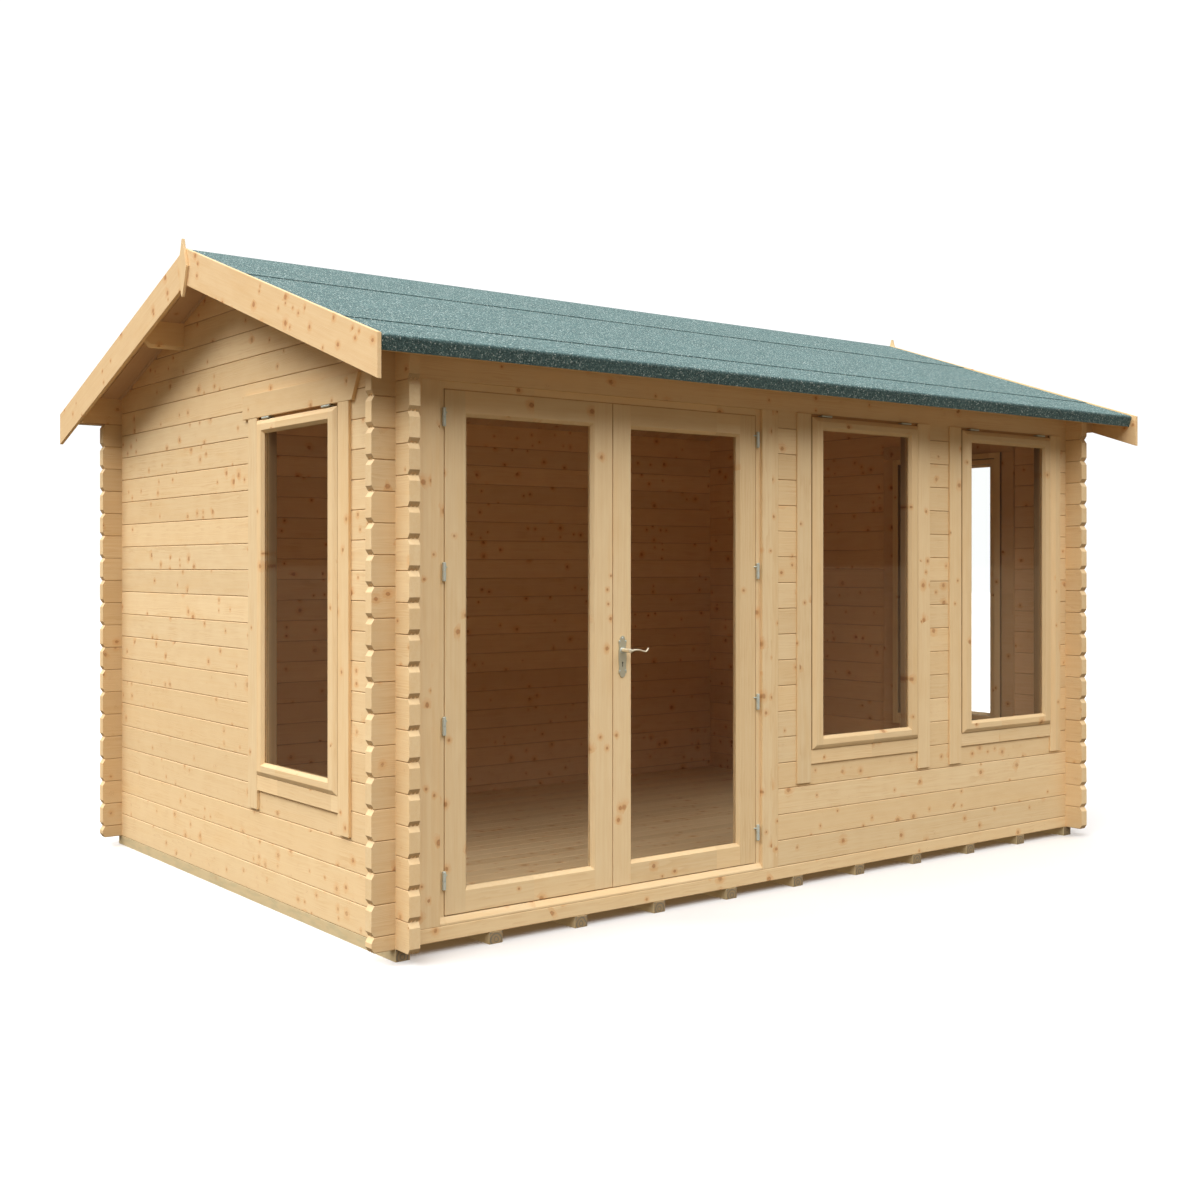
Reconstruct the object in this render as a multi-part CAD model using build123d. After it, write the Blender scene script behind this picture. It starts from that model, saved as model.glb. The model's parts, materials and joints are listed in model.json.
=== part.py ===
"""A garden log cabin: interlocking log walls, glazed double doors, four top-hung windows, felted roof.

Millimetres. +Z is up, the doors face -Y, and +X runs to the right along the front wall.
The origin is on the ground, under the centre of the plan.
"""
from build123d import *
import math
import os

# ---------------------------------------------------------------- driving dimensions
# plan and logs
WALL_LENGTH = 4100.0        # front wall, outer face of one gable wall to the other
WALL_DEPTH = 2860.0         # gable wall, outer face of the front wall to the back wall
LOG_THICK = 45.0
LOG_HEIGHT = 114.0          # cover height of one log
LOG_TAIL = 98.0             # log ends run this far past the corners
END_CUT_ALONG = 12.5        # bevel at the top and bottom of each log end
END_CUT_HIGH = 20.0
END_CUT_LIMIT = 0.35        # most of a cut log's height that one bevel takes
JOINT_DEPTH = 3.0           # V groove between two logs
JOINT_HALF_HEIGHT = 3.0

# base
BEARER_COUNT = 11
BEARER_WIDE = 60.0
BEARER_HIGH = 45.0
FLOOR_THICK = 19.0
FLOOR_GAP = 2.0             # expansion gap to the walls

# roof
ROOF_SLOPE = 0.34           # rise over run
UNDERSIDE_APEX = 2756.0     # underside of the roof boards at the ridge
ROOF_BOARD_THICK = 28.0
EAVE_Y = 1664.0             # outermost point of the felt at the eaves, from the ridge line
EAVE_NOSE_RADIUS = 12.0     # the felt's bend over the edge of the boarding
EAVE_NOSE_STEPS = 4
EAVE_DROP_Z = 2169.0        # lower edge of the felt that is folded down at the eaves
EAVE_BATTEN_WIDE = 25.0
EAVE_BATTEN_ABOVE_DROP = 2.0
BARGE_FACE_X = 2268.0       # outer face of the barge boards
BARGE_THICK = 16.0
BARGE_WIDE = 153.0          # measured plumb
BARGE_END_Y = 1690.0
BARGE_ABOVE_FELT = 3.0
PURLIN_Y = 580.0
PURLIN_WIDE = 45.0
PURLIN_HIGH = 123.0
FELT_THICK = 3.5
FELT_LAP = 75.0
RIDGE_STRIP_Y = 568.0       # lower edge of the ridge strip
MIDDLE_STRIP_Y = 1391.0     # lower edge of the middle strip
FINIAL_THICK = 13.0
FINIAL_TOP = 2835.0
FINIAL_OUTLINE = ((4.0, 0.0), (15.0, 38.0), (50.0, 124.0), (5.0, 250.0))   # half width, drop below the tip

# doors, measured from the centre line of the pair
DOOR_X = -1041.5
DOOR_SETBACK = 15.0         # the leaves and their frame stand this far behind the wall face
LEAF_OUTER = 792.0          # outer edge of a leaf
LEAF_MEETING_GAP = 4.0
LEAF_BOTTOM_Z = 134.0
LEAF_TOP_Z = 2085.5
LEAF_THICK = 45.0
LEAF_GAP = 4.0              # above, below and beside the leaves
STILE_WIDE = 90.0
RAIL_WIDE = 82.0
BEAD_WIDE = 13.5            # bevel round a pane
BEAD_DEEP = 15.0
PANE_THICK = 6.0
PANE_REBATE = 8.0
DOOR_FRAME_OUTER = 821.0
DOOR_FRAME_DEEP = 60.0
STOP_GAP = 2.0              # between a leaf's back and the stops
STOP_COVER = 12.0           # the stops cover this much of the leaves' edges
SILL_EDGE_HIGH = 8.0        # upright front edge of the sloping sill
POST_INNER = 821.5
POST_OUTER = 917.0
INNER_TRIM_THICK = 12.0
INNER_TRIM_WIDE = 103.0
INNER_HEAD_HIGH = 80.0
FIT_GAP = 0.5               # between boards that meet
HINGE_ABOVE_SILL = (132.0, 703.5, 1275.0, 1848.5)   # centres, above the leaf's lower edge
HINGE_HIGH = 71.0
HINGE_RADIUS = 7.5
HINGE_PROUD = 8.5           # hinge axis in front of the leaf
HINGE_OUTSIDE = 8.0         # hinge axis outside the leaf's edge
HINGE_SPLIT = 1.0           # gap between the two halves of a barrel
HINGE_PIN_RADIUS = 3.0
HINGE_PIN_INSET = 6.0       # where the leaf's pin goes in, from the leaf's edge
LEVER_X = -993.5
LEVER_Z = 1089.0
LEVER_PROUD = 50.0
LEVER_PATH = ((0.0, 0.0), (30.0, 2.0), (58.0, 1.0), (86.0, -6.0), (99.0, 4.0))   # reach, rise
LEVER_ARM_RADIUS = 4.5
LEVER_HUB_RADIUS = 8.5
LEVER_HUB_PAST = 6.0        # the hub runs this far past the arm's axis
LEVER_TIP_RADIUS = 5.0
SPINDLE_RADIUS = 6.0
SPINDLE_CLEARANCE = 1.0
PLATE_THICK = 4.0
PLATE_CENTRE_DROP = 26.0    # plate centre below the spindle
PLATE_OUTLINE = (           # height above the plate's centre, half width
    (84.5, 3.0), (82.0, 8.5), (76.0, 12.5), (69.0, 14.0), (65.5, 20.5),
    (59.0, 21.0), (50.0, 18.0), (38.0, 17.5), (20.0, 19.5), (0.0, 20.5),
)
KEYHOLE_DROP = 25.0         # below the plate's centre
KEYHOLE_RADIUS = 4.0
KEY_SLOT_WIDE = 4.0
KEY_SLOT_LONG = 16.0

# windows, measured from their own centre line
FRONT_WINDOW_X = (439.5, 1494.0)
GABLE_WINDOW_Y = -642.0
WINDOW_OPENING_HIGH = 1559.0
WINDOW_FIRST_JOINT = 4      # the opening starts at this joint
OPENING_HALF = 385.0
WINDOW_FRAME_WIDE = 40.0
WINDOW_FRAME_DEEP = 45.0
WINDOW_FRAME_SETBACK = 24.0
WINDOW_TRIM_INNER = 365.0
WINDOW_TRIM_OUTER = 452.75
FRONT_TRIM_THICK = 9.0
GABLE_TRIM_THICK = 13.0
TRIM_BELOW_OPENING = 100.0  # the side boards run this far below the opening
APRON_BELOW_OPENING = 18.0
APRON_SETBACK = 1.0         # behind the side boards' faces
SASH_HALF = 361.0
SASH_BOTTOM = 47.0          # above the opening's lower edge
SASH_TOP = 1544.0
SASH_PROUD = 24.0
SASH_LIP_BACK = 22.0        # back of the lip that covers the frame
SASH_BODY_BACK = 50.0       # back of the part that fits into the frame
SASH_STILE = 57.0
SASH_RAIL = 45.0
SASH_EDGE_WIDE = 19.0       # bevel round the outside of the sash
SASH_EDGE_DEEP = 12.0
SASH_FRAME_GAP = 3.0
SASH_FRAME_LAP = 19.0       # the lip covers this much of the frame
INNER_BOARD_WIDE = 80.0
HEADER_THICK = 15.0
GABLE_HEADER_LAP = 2.0      # the header board covers this much of the opening
GABLE_HEADER_HIGH = 101.0
GABLE_HEADER_BACK_Y = -137.0
GABLE_HEADER_FRONT_Y = (-1123.0, -1174.0)   # lower and upper corner of its slanted end
WINDOW_HINGE_X = 272.0
WINDOW_HINGE_LONG = 65.0
WINDOW_HINGE_RADIUS = 4.5
WINDOW_HINGE_ABOVE_SASH = 6.5
WINDOW_HINGE_SETBACK = 8.0  # behind the sash's face
WINDOW_HINGE_FLAP = 3.0

# ---------------------------------------------------------------- derived places
FACE_X = WALL_LENGTH / 2
FACE_Y = WALL_DEPTH / 2
INNER_X = FACE_X - LOG_THICK
INNER_Y = FACE_Y - LOG_THICK
TAIL_X = FACE_X + LOG_TAIL
TAIL_Y = FACE_Y + LOG_TAIL
LOG_BASE = BEARER_HIGH
PLUMB = math.hypot(1, ROOF_SLOPE)       # plumb height of a layer one unit thick on the slope
SLOPE_ANGLE = math.atan(ROOF_SLOPE)
BOARD_TOP_APEX = UNDERSIDE_APEX + ROOF_BOARD_THICK * PLUMB
FELT_TOP_APEX = BOARD_TOP_APEX + FELT_THICK * PLUMB
ROOF_END_X = BARGE_FACE_X - BARGE_THICK
SILL_LOG_TOP = LOG_BASE + LOG_HEIGHT / 2
TOP_LOG_JOINT = SILL_LOG_TOP + 18 * LOG_HEIGHT
FRONT_TOP_JOINT = TOP_LOG_JOINT - LOG_HEIGHT    # the front's top log is twice as tall as the others
FLOOR_TOP = BEARER_HIGH + FLOOR_THICK
LEAF_FACE_Y = -FACE_Y + DOOR_SETBACK
FRONT_OPENING_Z = SILL_LOG_TOP + WINDOW_FIRST_JOINT * LOG_HEIGHT
FRONT_OPENING_TOP = FRONT_OPENING_Z + WINDOW_OPENING_HIGH   # also the top of the door opening
GABLE_OPENING_Z = LOG_BASE + WINDOW_FIRST_JOINT * LOG_HEIGHT


def underside(y):
    """Height of the roof boards' underside at a distance y from the ridge line."""
    return UNDERSIDE_APEX - ROOF_SLOPE * abs(y)


def layer_top(y, layers):
    """Height of the top of so many layers of felt on the boards, at a distance y from the ridge line."""
    return BOARD_TOP_APEX + layers * FELT_THICK * PLUMB - ROOF_SLOPE * abs(y)


# ---------------------------------------------------------------- shape helpers
def block(x0, x1, y0, y1, z0, z1):
    """A box between two corners."""
    centre = Pos((x0 + x1) / 2, (y0 + y1) / 2, (z0 + z1) / 2)
    return centre * Box(abs(x1 - x0), abs(y1 - y0), abs(z1 - z0))


def prism(axis, outline, start, end):
    """An outline, given as pairs of the other two coordinates, run along one axis."""
    if axis == "x":
        points = [(start, a, b) for a, b in outline]
        direction = (1, 0, 0)
    elif axis == "y":
        points = [(a, start, b) for a, b in outline]
        direction = (0, 1, 0)
    else:
        points = [(a, b, start) for a, b in outline]
        direction = (0, 0, 1)
    return extrude(make_face(Polyline(*points, close=True)), amount=end - start, dir=direction)


def funnel(half_a, high_a, y_a, half_b, high_b, y_b, z_mid):
    """A tapered block that joins two upright rectangles centred on x = 0, at y_a and y_b."""
    faces = []
    for half, high, y in ((half_a, high_a, y_a), (half_b, high_b, y_b)):
        low = z_mid - high
        top = z_mid + high
        corners = [(-half, y, low), (half, y, low), (half, y, top), (-half, y, top)]
        faces.append(make_face(Polyline(*corners, close=True)))
    return loft(faces)


def joints_between(first, z0, z1):
    """Heights of the log joints strictly between z0 and z1."""
    heights = []
    height = first
    while height < z1 - 1:
        if height > z0 + 1:
            heights.append(height)
        height += LOG_HEIGHT
    return heights


def log_section(outer, inner, z0, z1, first_joint):
    """Cross-section of a stack of logs, with a V groove at each joint on both faces."""
    sign = 1 if outer > inner else -1
    heights = joints_between(first_joint, z0, z1)
    outer_root = outer - sign * JOINT_DEPTH
    inner_root = inner + sign * JOINT_DEPTH
    outside = [(outer, z0)]
    for z in heights:
        outside += [(outer, z - JOINT_HALF_HEIGHT), (outer_root, z), (outer, z + JOINT_HALF_HEIGHT)]
    outside.append((outer, z1))
    inside = [(inner, z1)]
    for z in reversed(heights):
        inside += [(inner, z + JOINT_HALF_HEIGHT), (inner_root, z), (inner, z - JOINT_HALF_HEIGHT)]
    inside.append((inner, z0))
    return outside + inside


def end_profile(end, z0, z1, first_joint):
    """Points of the log ends from z0 up to z1: each log has its top and bottom corner cut back."""
    sign = 1 if end > 0 else -1
    levels = [z0] + joints_between(first_joint, z0, z1) + [z1]
    back = end - sign * END_CUT_ALONG
    points = [(back, z0)]
    for low, high in zip(levels, levels[1:]):
        cut = min(END_CUT_HIGH, (high - low) * END_CUT_LIMIT)
        points += [(end, low + cut), (end, high - cut), (back, high)]
    return points


def crossing_cuts(face, inner, lowest, top):
    """Rectangles (a0, a1, z0, z1) taken out of a wall at a corner, where the crossing logs pass."""
    cuts = []
    z = lowest
    while z < top:
        cuts.append((min(face, inner), max(face, inner), z, z + LOG_HEIGHT / 2))
        z += LOG_HEIGHT
    return cuts


# ---------------------------------------------------------------- base
def floor_bearers():
    """Treated bearers under the floor and the bottom logs."""
    first = -FACE_X + BEARER_WIDE / 2
    step = (WALL_LENGTH - BEARER_WIDE) / (BEARER_COUNT - 1)
    bearers = []
    for index in range(BEARER_COUNT):
        x = first + index * step
        bearers.append(block(x - BEARER_WIDE / 2, x + BEARER_WIDE / 2, -FACE_Y, FACE_Y, 0, BEARER_HIGH))
    return Compound(children=bearers)


def floor():
    """The boarded floor, inside the walls."""
    x = INNER_X - FLOOR_GAP
    y = INNER_Y - FLOOR_GAP
    return block(-x, x, -y, y, BEARER_HIGH, FLOOR_TOP)


# ---------------------------------------------------------------- walls
def long_wall(sign, x0, x1, z0, z1, openings=()):
    """Logs along X in the front (sign -1) or back (sign 1) wall, between x0 and x1 and z0 and z1.

    An end that reaches a corner runs on past it and gets the bevelled log ends.
    """
    outer = sign * FACE_Y
    inner = sign * INNER_Y
    left = [(x0, z1), (x0, z0)]
    right = [(x1, z0), (x1, z1)]
    if x0 <= -TAIL_X:
        left = list(reversed(end_profile(-TAIL_X, z0, z1, SILL_LOG_TOP)))
    if x1 >= TAIL_X:
        right = end_profile(TAIL_X, z0, z1, SILL_LOG_TOP)
    elevation = prism("y", left + right, min(outer, inner), max(outer, inner))
    section = prism("x", log_section(outer, inner, z0, z1, SILL_LOG_TOP), x0 - 1, x1 + 1)
    wall = elevation & section
    lowest = LOG_BASE + LOG_HEIGHT / 4
    y0 = min(outer, inner) - 1
    y1 = max(outer, inner) + 1
    for side in (-1, 1):
        for a0, a1, c0, c1 in crossing_cuts(side * FACE_X, side * INNER_X, lowest, z1):
            if c1 > z0 and x0 < a1 and x1 > a0:
                wall -= block(a0, a1, y0, y1, max(c0, z0 - 1), c1)
    for a0, a1, c0, c1 in openings:
        wall -= block(a0, a1, y0, y1, c0, c1)
    return wall


def top_log(sign):
    """The uppermost log of a long wall: bevelled to the roof and run out to the barge boards."""
    outer = sign * FACE_Y
    inner = sign * INNER_Y
    outline = [(outer, TOP_LOG_JOINT), (outer, underside(outer)),
               (inner, underside(inner)), (inner, TOP_LOG_JOINT)]
    log = prism("x", outline, -ROOF_END_X, ROOF_END_X)
    neck_low = TOP_LOG_JOINT + LOG_HEIGHT / 4
    neck_high = TOP_LOG_JOINT + 3 * LOG_HEIGHT / 4
    y0 = min(outer, inner) - 1
    y1 = max(outer, inner) + 1
    for side in (-1, 1):
        x0, x1 = sorted((side * FACE_X, side * INNER_X))
        log -= block(x0, x1, y0, y1, TOP_LOG_JOINT - 1, neck_low)
        log -= block(x0, x1, y0, y1, neck_high, underside(0))
    return log


def gable_wall(sign):
    """Logs along Y up to the ridge, at the left (sign -1) or right (sign 1) end, with one window."""
    outer = sign * FACE_X
    inner = sign * INNER_X
    x0, x1 = sorted((outer, inner))
    eave_z = underside(TAIL_Y)
    front_end = end_profile(-TAIL_Y, LOG_BASE, eave_z, LOG_BASE)
    back_end = end_profile(TAIL_Y, LOG_BASE, eave_z, LOG_BASE)
    front_end[-2:] = [(-TAIL_Y, eave_z)]
    back_end[-2:] = [(TAIL_Y, eave_z)]
    outline = back_end + [(0, underside(0))] + list(reversed(front_end))
    elevation = prism("x", outline, x0, x1)
    profile = log_section(outer, inner, LOG_BASE, underside(0), LOG_BASE)
    section = prism("y", profile, -TAIL_Y - 1, TAIL_Y + 1)
    wall = elevation & section
    lowest = LOG_BASE + 3 * LOG_HEIGHT / 4
    highest = underside(FACE_Y) - LOG_HEIGHT / 2
    for side in (-1, 1):
        face = side * FACE_Y
        room = side * INNER_Y
        wall -= block(x0 - 1, x1 + 1, room, face, LOG_BASE - 1, LOG_BASE + LOG_HEIGHT / 4)
        for a0, a1, c0, c1 in crossing_cuts(face, room, lowest, highest):
            wall -= block(x0 - 1, x1 + 1, a0, a1, c0, c1)
        near = side * (PURLIN_Y - PURLIN_WIDE / 2)
        far = side * (PURLIN_Y + PURLIN_WIDE / 2)
        wall -= block(x0 - 1, x1 + 1, near, far, underside(near) - PURLIN_HIGH, underside(0))
    window = block(x0 - 1, x1 + 1, GABLE_WINDOW_Y - OPENING_HALF, GABLE_WINDOW_Y + OPENING_HALF,
                   GABLE_OPENING_Z, GABLE_OPENING_Z + WINDOW_OPENING_HIGH)
    return wall - window


# ---------------------------------------------------------------- roof
def purlins():
    """Two purlins through both gable walls, out to the barge boards."""
    pieces = []
    for side in (-1, 1):
        near = side * (PURLIN_Y - PURLIN_WIDE / 2)
        far = side * (PURLIN_Y + PURLIN_WIDE / 2)
        low = underside(near) - PURLIN_HIGH
        outline = [(near, low), (far, low), (far, underside(far)), (near, underside(near))]
        pieces.append(prism("x", outline, -ROOF_END_X, ROOF_END_X))
    return Compound(children=pieces)


def eave_edge(inset):
    """Points round the rounded upper edge at the eave, `inset` inside the felt's outer face."""
    centre_y = EAVE_Y - EAVE_NOSE_RADIUS
    centre_z = layer_top(centre_y, 1) - EAVE_NOSE_RADIUS * PLUMB
    points = []
    for step in range(EAVE_NOSE_STEPS + 1):
        angle = math.pi / 2 * (1 - step / EAVE_NOSE_STEPS) - SLOPE_ANGLE
        radius = EAVE_NOSE_RADIUS - inset
        points.append((centre_y + radius * math.cos(angle), centre_z + radius * math.sin(angle)))
    return points


def down_the_cut(point, drop):
    """The point `drop` lower on the eave's end cut, which is square to the slope."""
    return (point[0] - ROOF_SLOPE * drop, point[1] - drop)


def to_side(side, points):
    """Points of the back slope (side 1), or mirrored to the front slope (side -1)."""
    return [(side * y, z) for y, z in points]


def board_end_bottom():
    """The lower corner of the boarding at the eave."""
    nose = eave_edge(FELT_THICK)[-1]
    return down_the_cut(nose, (nose[1] - underside(nose[0])) / PLUMB ** 2)


def roof_boards(side):
    """The boarding of one slope, from the ridge to the eave."""
    outline = [(0, underside(0)), board_end_bottom()]
    outline += reversed(eave_edge(FELT_THICK))
    outline.append((0, layer_top(0, 0)))
    return prism("x", to_side(side, outline), -ROOF_END_X, ROOF_END_X)


def eave_battens():
    """Battens under the edge of the boarding, which the felt is folded down over."""
    top = board_end_bottom()
    low = down_the_cut(top, top[1] - EAVE_DROP_Z - EAVE_BATTEN_ABOVE_DROP)
    inner_top = top[0] - EAVE_BATTEN_WIDE
    outline = [low, top, (inner_top, underside(inner_top)), (low[0] - EAVE_BATTEN_WIDE, low[1])]
    return Compound(children=[prism("x", to_side(side, outline), -ROOF_END_X, ROOF_END_X) for side in (-1, 1)])


def felt_ridge_strip():
    """The capping strip over the ridge, on top of both middle strips."""
    ends = ((-RIDGE_STRIP_Y, 1), (0, 1), (RIDGE_STRIP_Y, 1), (RIDGE_STRIP_Y, 2), (0, 2), (-RIDGE_STRIP_Y, 2))
    outline = [(y, layer_top(y, layers)) for y, layers in ends]
    return prism("x", outline, -ROOF_END_X, ROOF_END_X)


def felt_middle_strips():
    """One strip on each slope, from the ridge down, lapped over the eave strip."""
    under = MIDDLE_STRIP_Y - FELT_LAP
    step = under - 2 * FELT_THICK
    lower = []
    upper = []
    for y, layers in ((0, 0), (step, 0), (under, 1), (MIDDLE_STRIP_Y, 1)):
        lower.append((y, layer_top(y, layers)))
        upper.append((y, layer_top(y, layers + 1)))
    outline = lower + upper[::-1]
    return Compound(children=[prism("x", to_side(side, outline), -ROOF_END_X, ROOF_END_X) for side in (-1, 1)])


def felt_eave_strips():
    """The lowest strip on each slope, folded down over the eave batten."""
    top_edge = MIDDLE_STRIP_Y - FELT_LAP
    outside = eave_edge(0)
    inside = eave_edge(FELT_THICK)
    outside.append(down_the_cut(outside[-1], outside[-1][1] - EAVE_DROP_Z))
    inside.append(down_the_cut(inside[-1], inside[-1][1] - EAVE_DROP_Z))
    outline = [(top_edge, layer_top(top_edge, 0))] + inside + outside[::-1]
    outline.append((top_edge, layer_top(top_edge, 1)))
    return Compound(children=[prism("x", to_side(side, outline), -ROOF_END_X, ROOF_END_X) for side in (-1, 1)])


def barge_boards(side):
    """The barge boards of one slope, one at each gable, cut plumb at the ridge and the eave."""
    top = FELT_TOP_APEX + BARGE_ABOVE_FELT
    end_y = side * BARGE_END_Y
    end_top = top - ROOF_SLOPE * BARGE_END_Y
    outline = [(0, top), (end_y, end_top), (end_y, end_top - BARGE_WIDE), (0, top - BARGE_WIDE)]
    pieces = []
    for end in (-1, 1):
        x0, x1 = sorted((end * BARGE_FACE_X, end * ROOF_END_X))
        pieces.append(prism("x", outline, x0, x1))
    return Compound(children=pieces)


def finials():
    """A pointed board on the face of each pair of barge boards."""
    near = [(half, FINIAL_TOP - drop) for half, drop in FINIAL_OUTLINE]
    outline = near + [(-y, z) for y, z in reversed(near)]
    pieces = []
    for end in (-1, 1):
        x0, x1 = sorted((end * BARGE_FACE_X, end * (BARGE_FACE_X + FINIAL_THICK)))
        pieces.append(prism("x", outline, x0, x1))
    return Compound(children=pieces)


# ---------------------------------------------------------------- boards over and beside the openings
def gable_header_boards():
    """A board over each gable window, square at one end and slanted at the end near the front corner."""
    low = GABLE_OPENING_Z + WINDOW_OPENING_HIGH - GABLE_HEADER_LAP
    high = low + GABLE_HEADER_HIGH
    outline = [(GABLE_HEADER_BACK_Y, low), (GABLE_HEADER_BACK_Y, high),
               (GABLE_HEADER_FRONT_Y[1], high), (GABLE_HEADER_FRONT_Y[0], low)]
    pieces = []
    for end in (-1, 1):
        x0, x1 = sorted((end * FACE_X, end * (FACE_X + HEADER_THICK)))
        pieces.append(prism("x", outline, x0, x1))
    return Compound(children=pieces)


def door_posts():
    """The posts either side of the doors, flush with the logs that end against them."""
    pieces = []
    for side in (-1, 1):
        x0, x1 = sorted((DOOR_X + side * POST_INNER, DOOR_X + side * POST_OUTER))
        pieces.append(block(x0, x1, -FACE_Y, -INNER_Y, SILL_LOG_TOP, FRONT_OPENING_TOP))
    return Compound(children=pieces)


def door_inner_trims():
    """The boards round the doors, inside: two uprights and one across the top."""
    inner = DOOR_FRAME_OUTER + FIT_GAP
    outer = inner + INNER_TRIM_WIDE
    y0 = -INNER_Y
    y1 = -INNER_Y + INNER_TRIM_THICK
    top = FRONT_OPENING_TOP + FIT_GAP
    head_low = top + FIT_GAP
    pieces = [block(DOOR_X - outer, DOOR_X + outer, y0, y1, head_low, head_low + INNER_HEAD_HIGH)]
    for side in (-1, 1):
        x0, x1 = sorted((DOOR_X + side * inner, DOOR_X + side * outer))
        pieces.append(block(x0, x1, y0, y1, FLOOR_TOP + FIT_GAP, top))
    return Compound(children=pieces)


# ---------------------------------------------------------------- doors
def door_frame():
    """Jambs, head, stops and sloping sill of the double doors, between the posts."""
    left = DOOR_X - DOOR_FRAME_OUTER
    right = DOOR_X + DOOR_FRAME_OUTER
    clear = LEAF_OUTER + LEAF_GAP
    stop_y = LEAF_FACE_Y + LEAF_THICK + STOP_GAP
    back = LEAF_FACE_Y + DOOR_FRAME_DEEP
    sill_top = LEAF_BOTTOM_Z - LEAF_GAP
    head_low = LEAF_TOP_Z + LEAF_GAP
    frame = block(left, right, LEAF_FACE_Y, back, SILL_LOG_TOP, FRONT_OPENING_TOP)
    frame -= block(DOOR_X - clear, DOOR_X + clear, LEAF_FACE_Y - 1, stop_y, sill_top, head_low)
    half = LEAF_OUTER - STOP_COVER
    low = LEAF_BOTTOM_Z + STOP_COVER
    high = LEAF_TOP_Z - STOP_COVER
    frame -= block(DOOR_X - half, DOOR_X + half, LEAF_FACE_Y, back + 1, low, high)
    sill = [(LEAF_FACE_Y, SILL_LOG_TOP), (-FACE_Y, SILL_LOG_TOP),
            (-FACE_Y, SILL_LOG_TOP + SILL_EDGE_HIGH), (LEAF_FACE_Y, sill_top)]
    return frame + prism("x", sill, left, right)


def leaf_edges(side):
    """The meeting edge and the hinged edge of the left (-1) or right (1) leaf, as x values."""
    return sorted((DOOR_X + side * LEAF_MEETING_GAP / 2, DOOR_X + side * LEAF_OUTER))


def door_leaf(side):
    """One leaf: stiles and rails with bevelled glazing beads."""
    x0, x1 = leaf_edges(side)
    width = x1 - x0
    high = LEAF_TOP_Z - LEAF_BOTTOM_Z
    z_mid = (LEAF_TOP_Z + LEAF_BOTTOM_Z) / 2
    open_half = width / 2 - STILE_WIDE
    open_high = high / 2 - RAIL_WIDE
    leaf = block(-width / 2, width / 2, 0, LEAF_THICK, LEAF_BOTTOM_Z, LEAF_TOP_Z)
    leaf -= funnel(open_half, open_high, 0, open_half - BEAD_WIDE, open_high - BEAD_WIDE, BEAD_DEEP, z_mid)
    back = BEAD_DEEP + PANE_THICK
    leaf -= funnel(open_half - BEAD_WIDE, open_high - BEAD_WIDE, back, open_half, open_high, LEAF_THICK, z_mid)
    rebate_half = open_half - BEAD_WIDE + PANE_REBATE
    rebate_high = open_high - BEAD_WIDE + PANE_REBATE
    leaf -= block(-rebate_half, rebate_half, BEAD_DEEP, back, z_mid - rebate_high, z_mid + rebate_high)
    leaf = Pos((x0 + x1) / 2, LEAF_FACE_Y, 0) * leaf
    if side > 0:
        spindle_line = Pos(LEVER_X, LEAF_FACE_Y + LEAF_THICK / 2, LEVER_Z) * Rot(90, 0, 0)
        leaf -= spindle_line * Cylinder(SPINDLE_RADIUS + SPINDLE_CLEARANCE, LEAF_THICK + 2)
    return leaf


def door_glass(side):
    """The pane of one leaf."""
    x0, x1 = leaf_edges(side)
    inset = STILE_WIDE + BEAD_WIDE - PANE_REBATE
    drop = RAIL_WIDE + BEAD_WIDE - PANE_REBATE
    y0 = LEAF_FACE_Y + BEAD_DEEP
    return block(x0 + inset, x1 - inset, y0, y0 + PANE_THICK, LEAF_BOTTOM_Z + drop, LEAF_TOP_Z - drop)


def hinge_half(side, z_low, on_leaf):
    """Half of a drill-in hinge: a barrel, and the pin that holds it to the leaf or to the jamb."""
    x = DOOR_X + side * (LEAF_OUTER + HINGE_OUTSIDE)
    y = LEAF_FACE_Y - HINGE_PROUD
    high = (HINGE_HIGH - HINGE_SPLIT) / 2
    z_mid = z_low + high / 2
    barrel = Pos(x, y, z_mid) * Cylinder(HINGE_RADIUS, high)
    sideways = -side * (HINGE_OUTSIDE + HINGE_PIN_INSET) if on_leaf else 0
    line = Plane(origin=(x, y, z_mid), z_dir=(sideways, HINGE_PROUD, 0))
    pin_long = 2 * math.hypot(sideways, HINGE_PROUD)
    pin = line * Cylinder(HINGE_PIN_RADIUS, pin_long, align=(Align.CENTER, Align.CENTER, Align.MIN))
    wood = block(x - pin_long * 2, x + pin_long * 2, LEAF_FACE_Y, LEAF_FACE_Y + pin_long, z_low, z_low + high)
    return barrel + (pin - wood)


def leaf_hinges(side):
    """The upper halves of a leaf's four hinges, which turn with it."""
    lift = LEAF_BOTTOM_Z + HINGE_SPLIT / 2
    return Compound(children=[hinge_half(side, lift + z, True) for z in HINGE_ABOVE_SILL])


def frame_hinges():
    """The lower halves of all eight hinges, on the jambs."""
    lift = LEAF_BOTTOM_Z - HINGE_HIGH / 2
    pieces = []
    for side in (-1, 1):
        pieces += [hinge_half(side, lift + z, False) for z in HINGE_ABOVE_SILL]
    return Compound(children=pieces)


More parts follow.
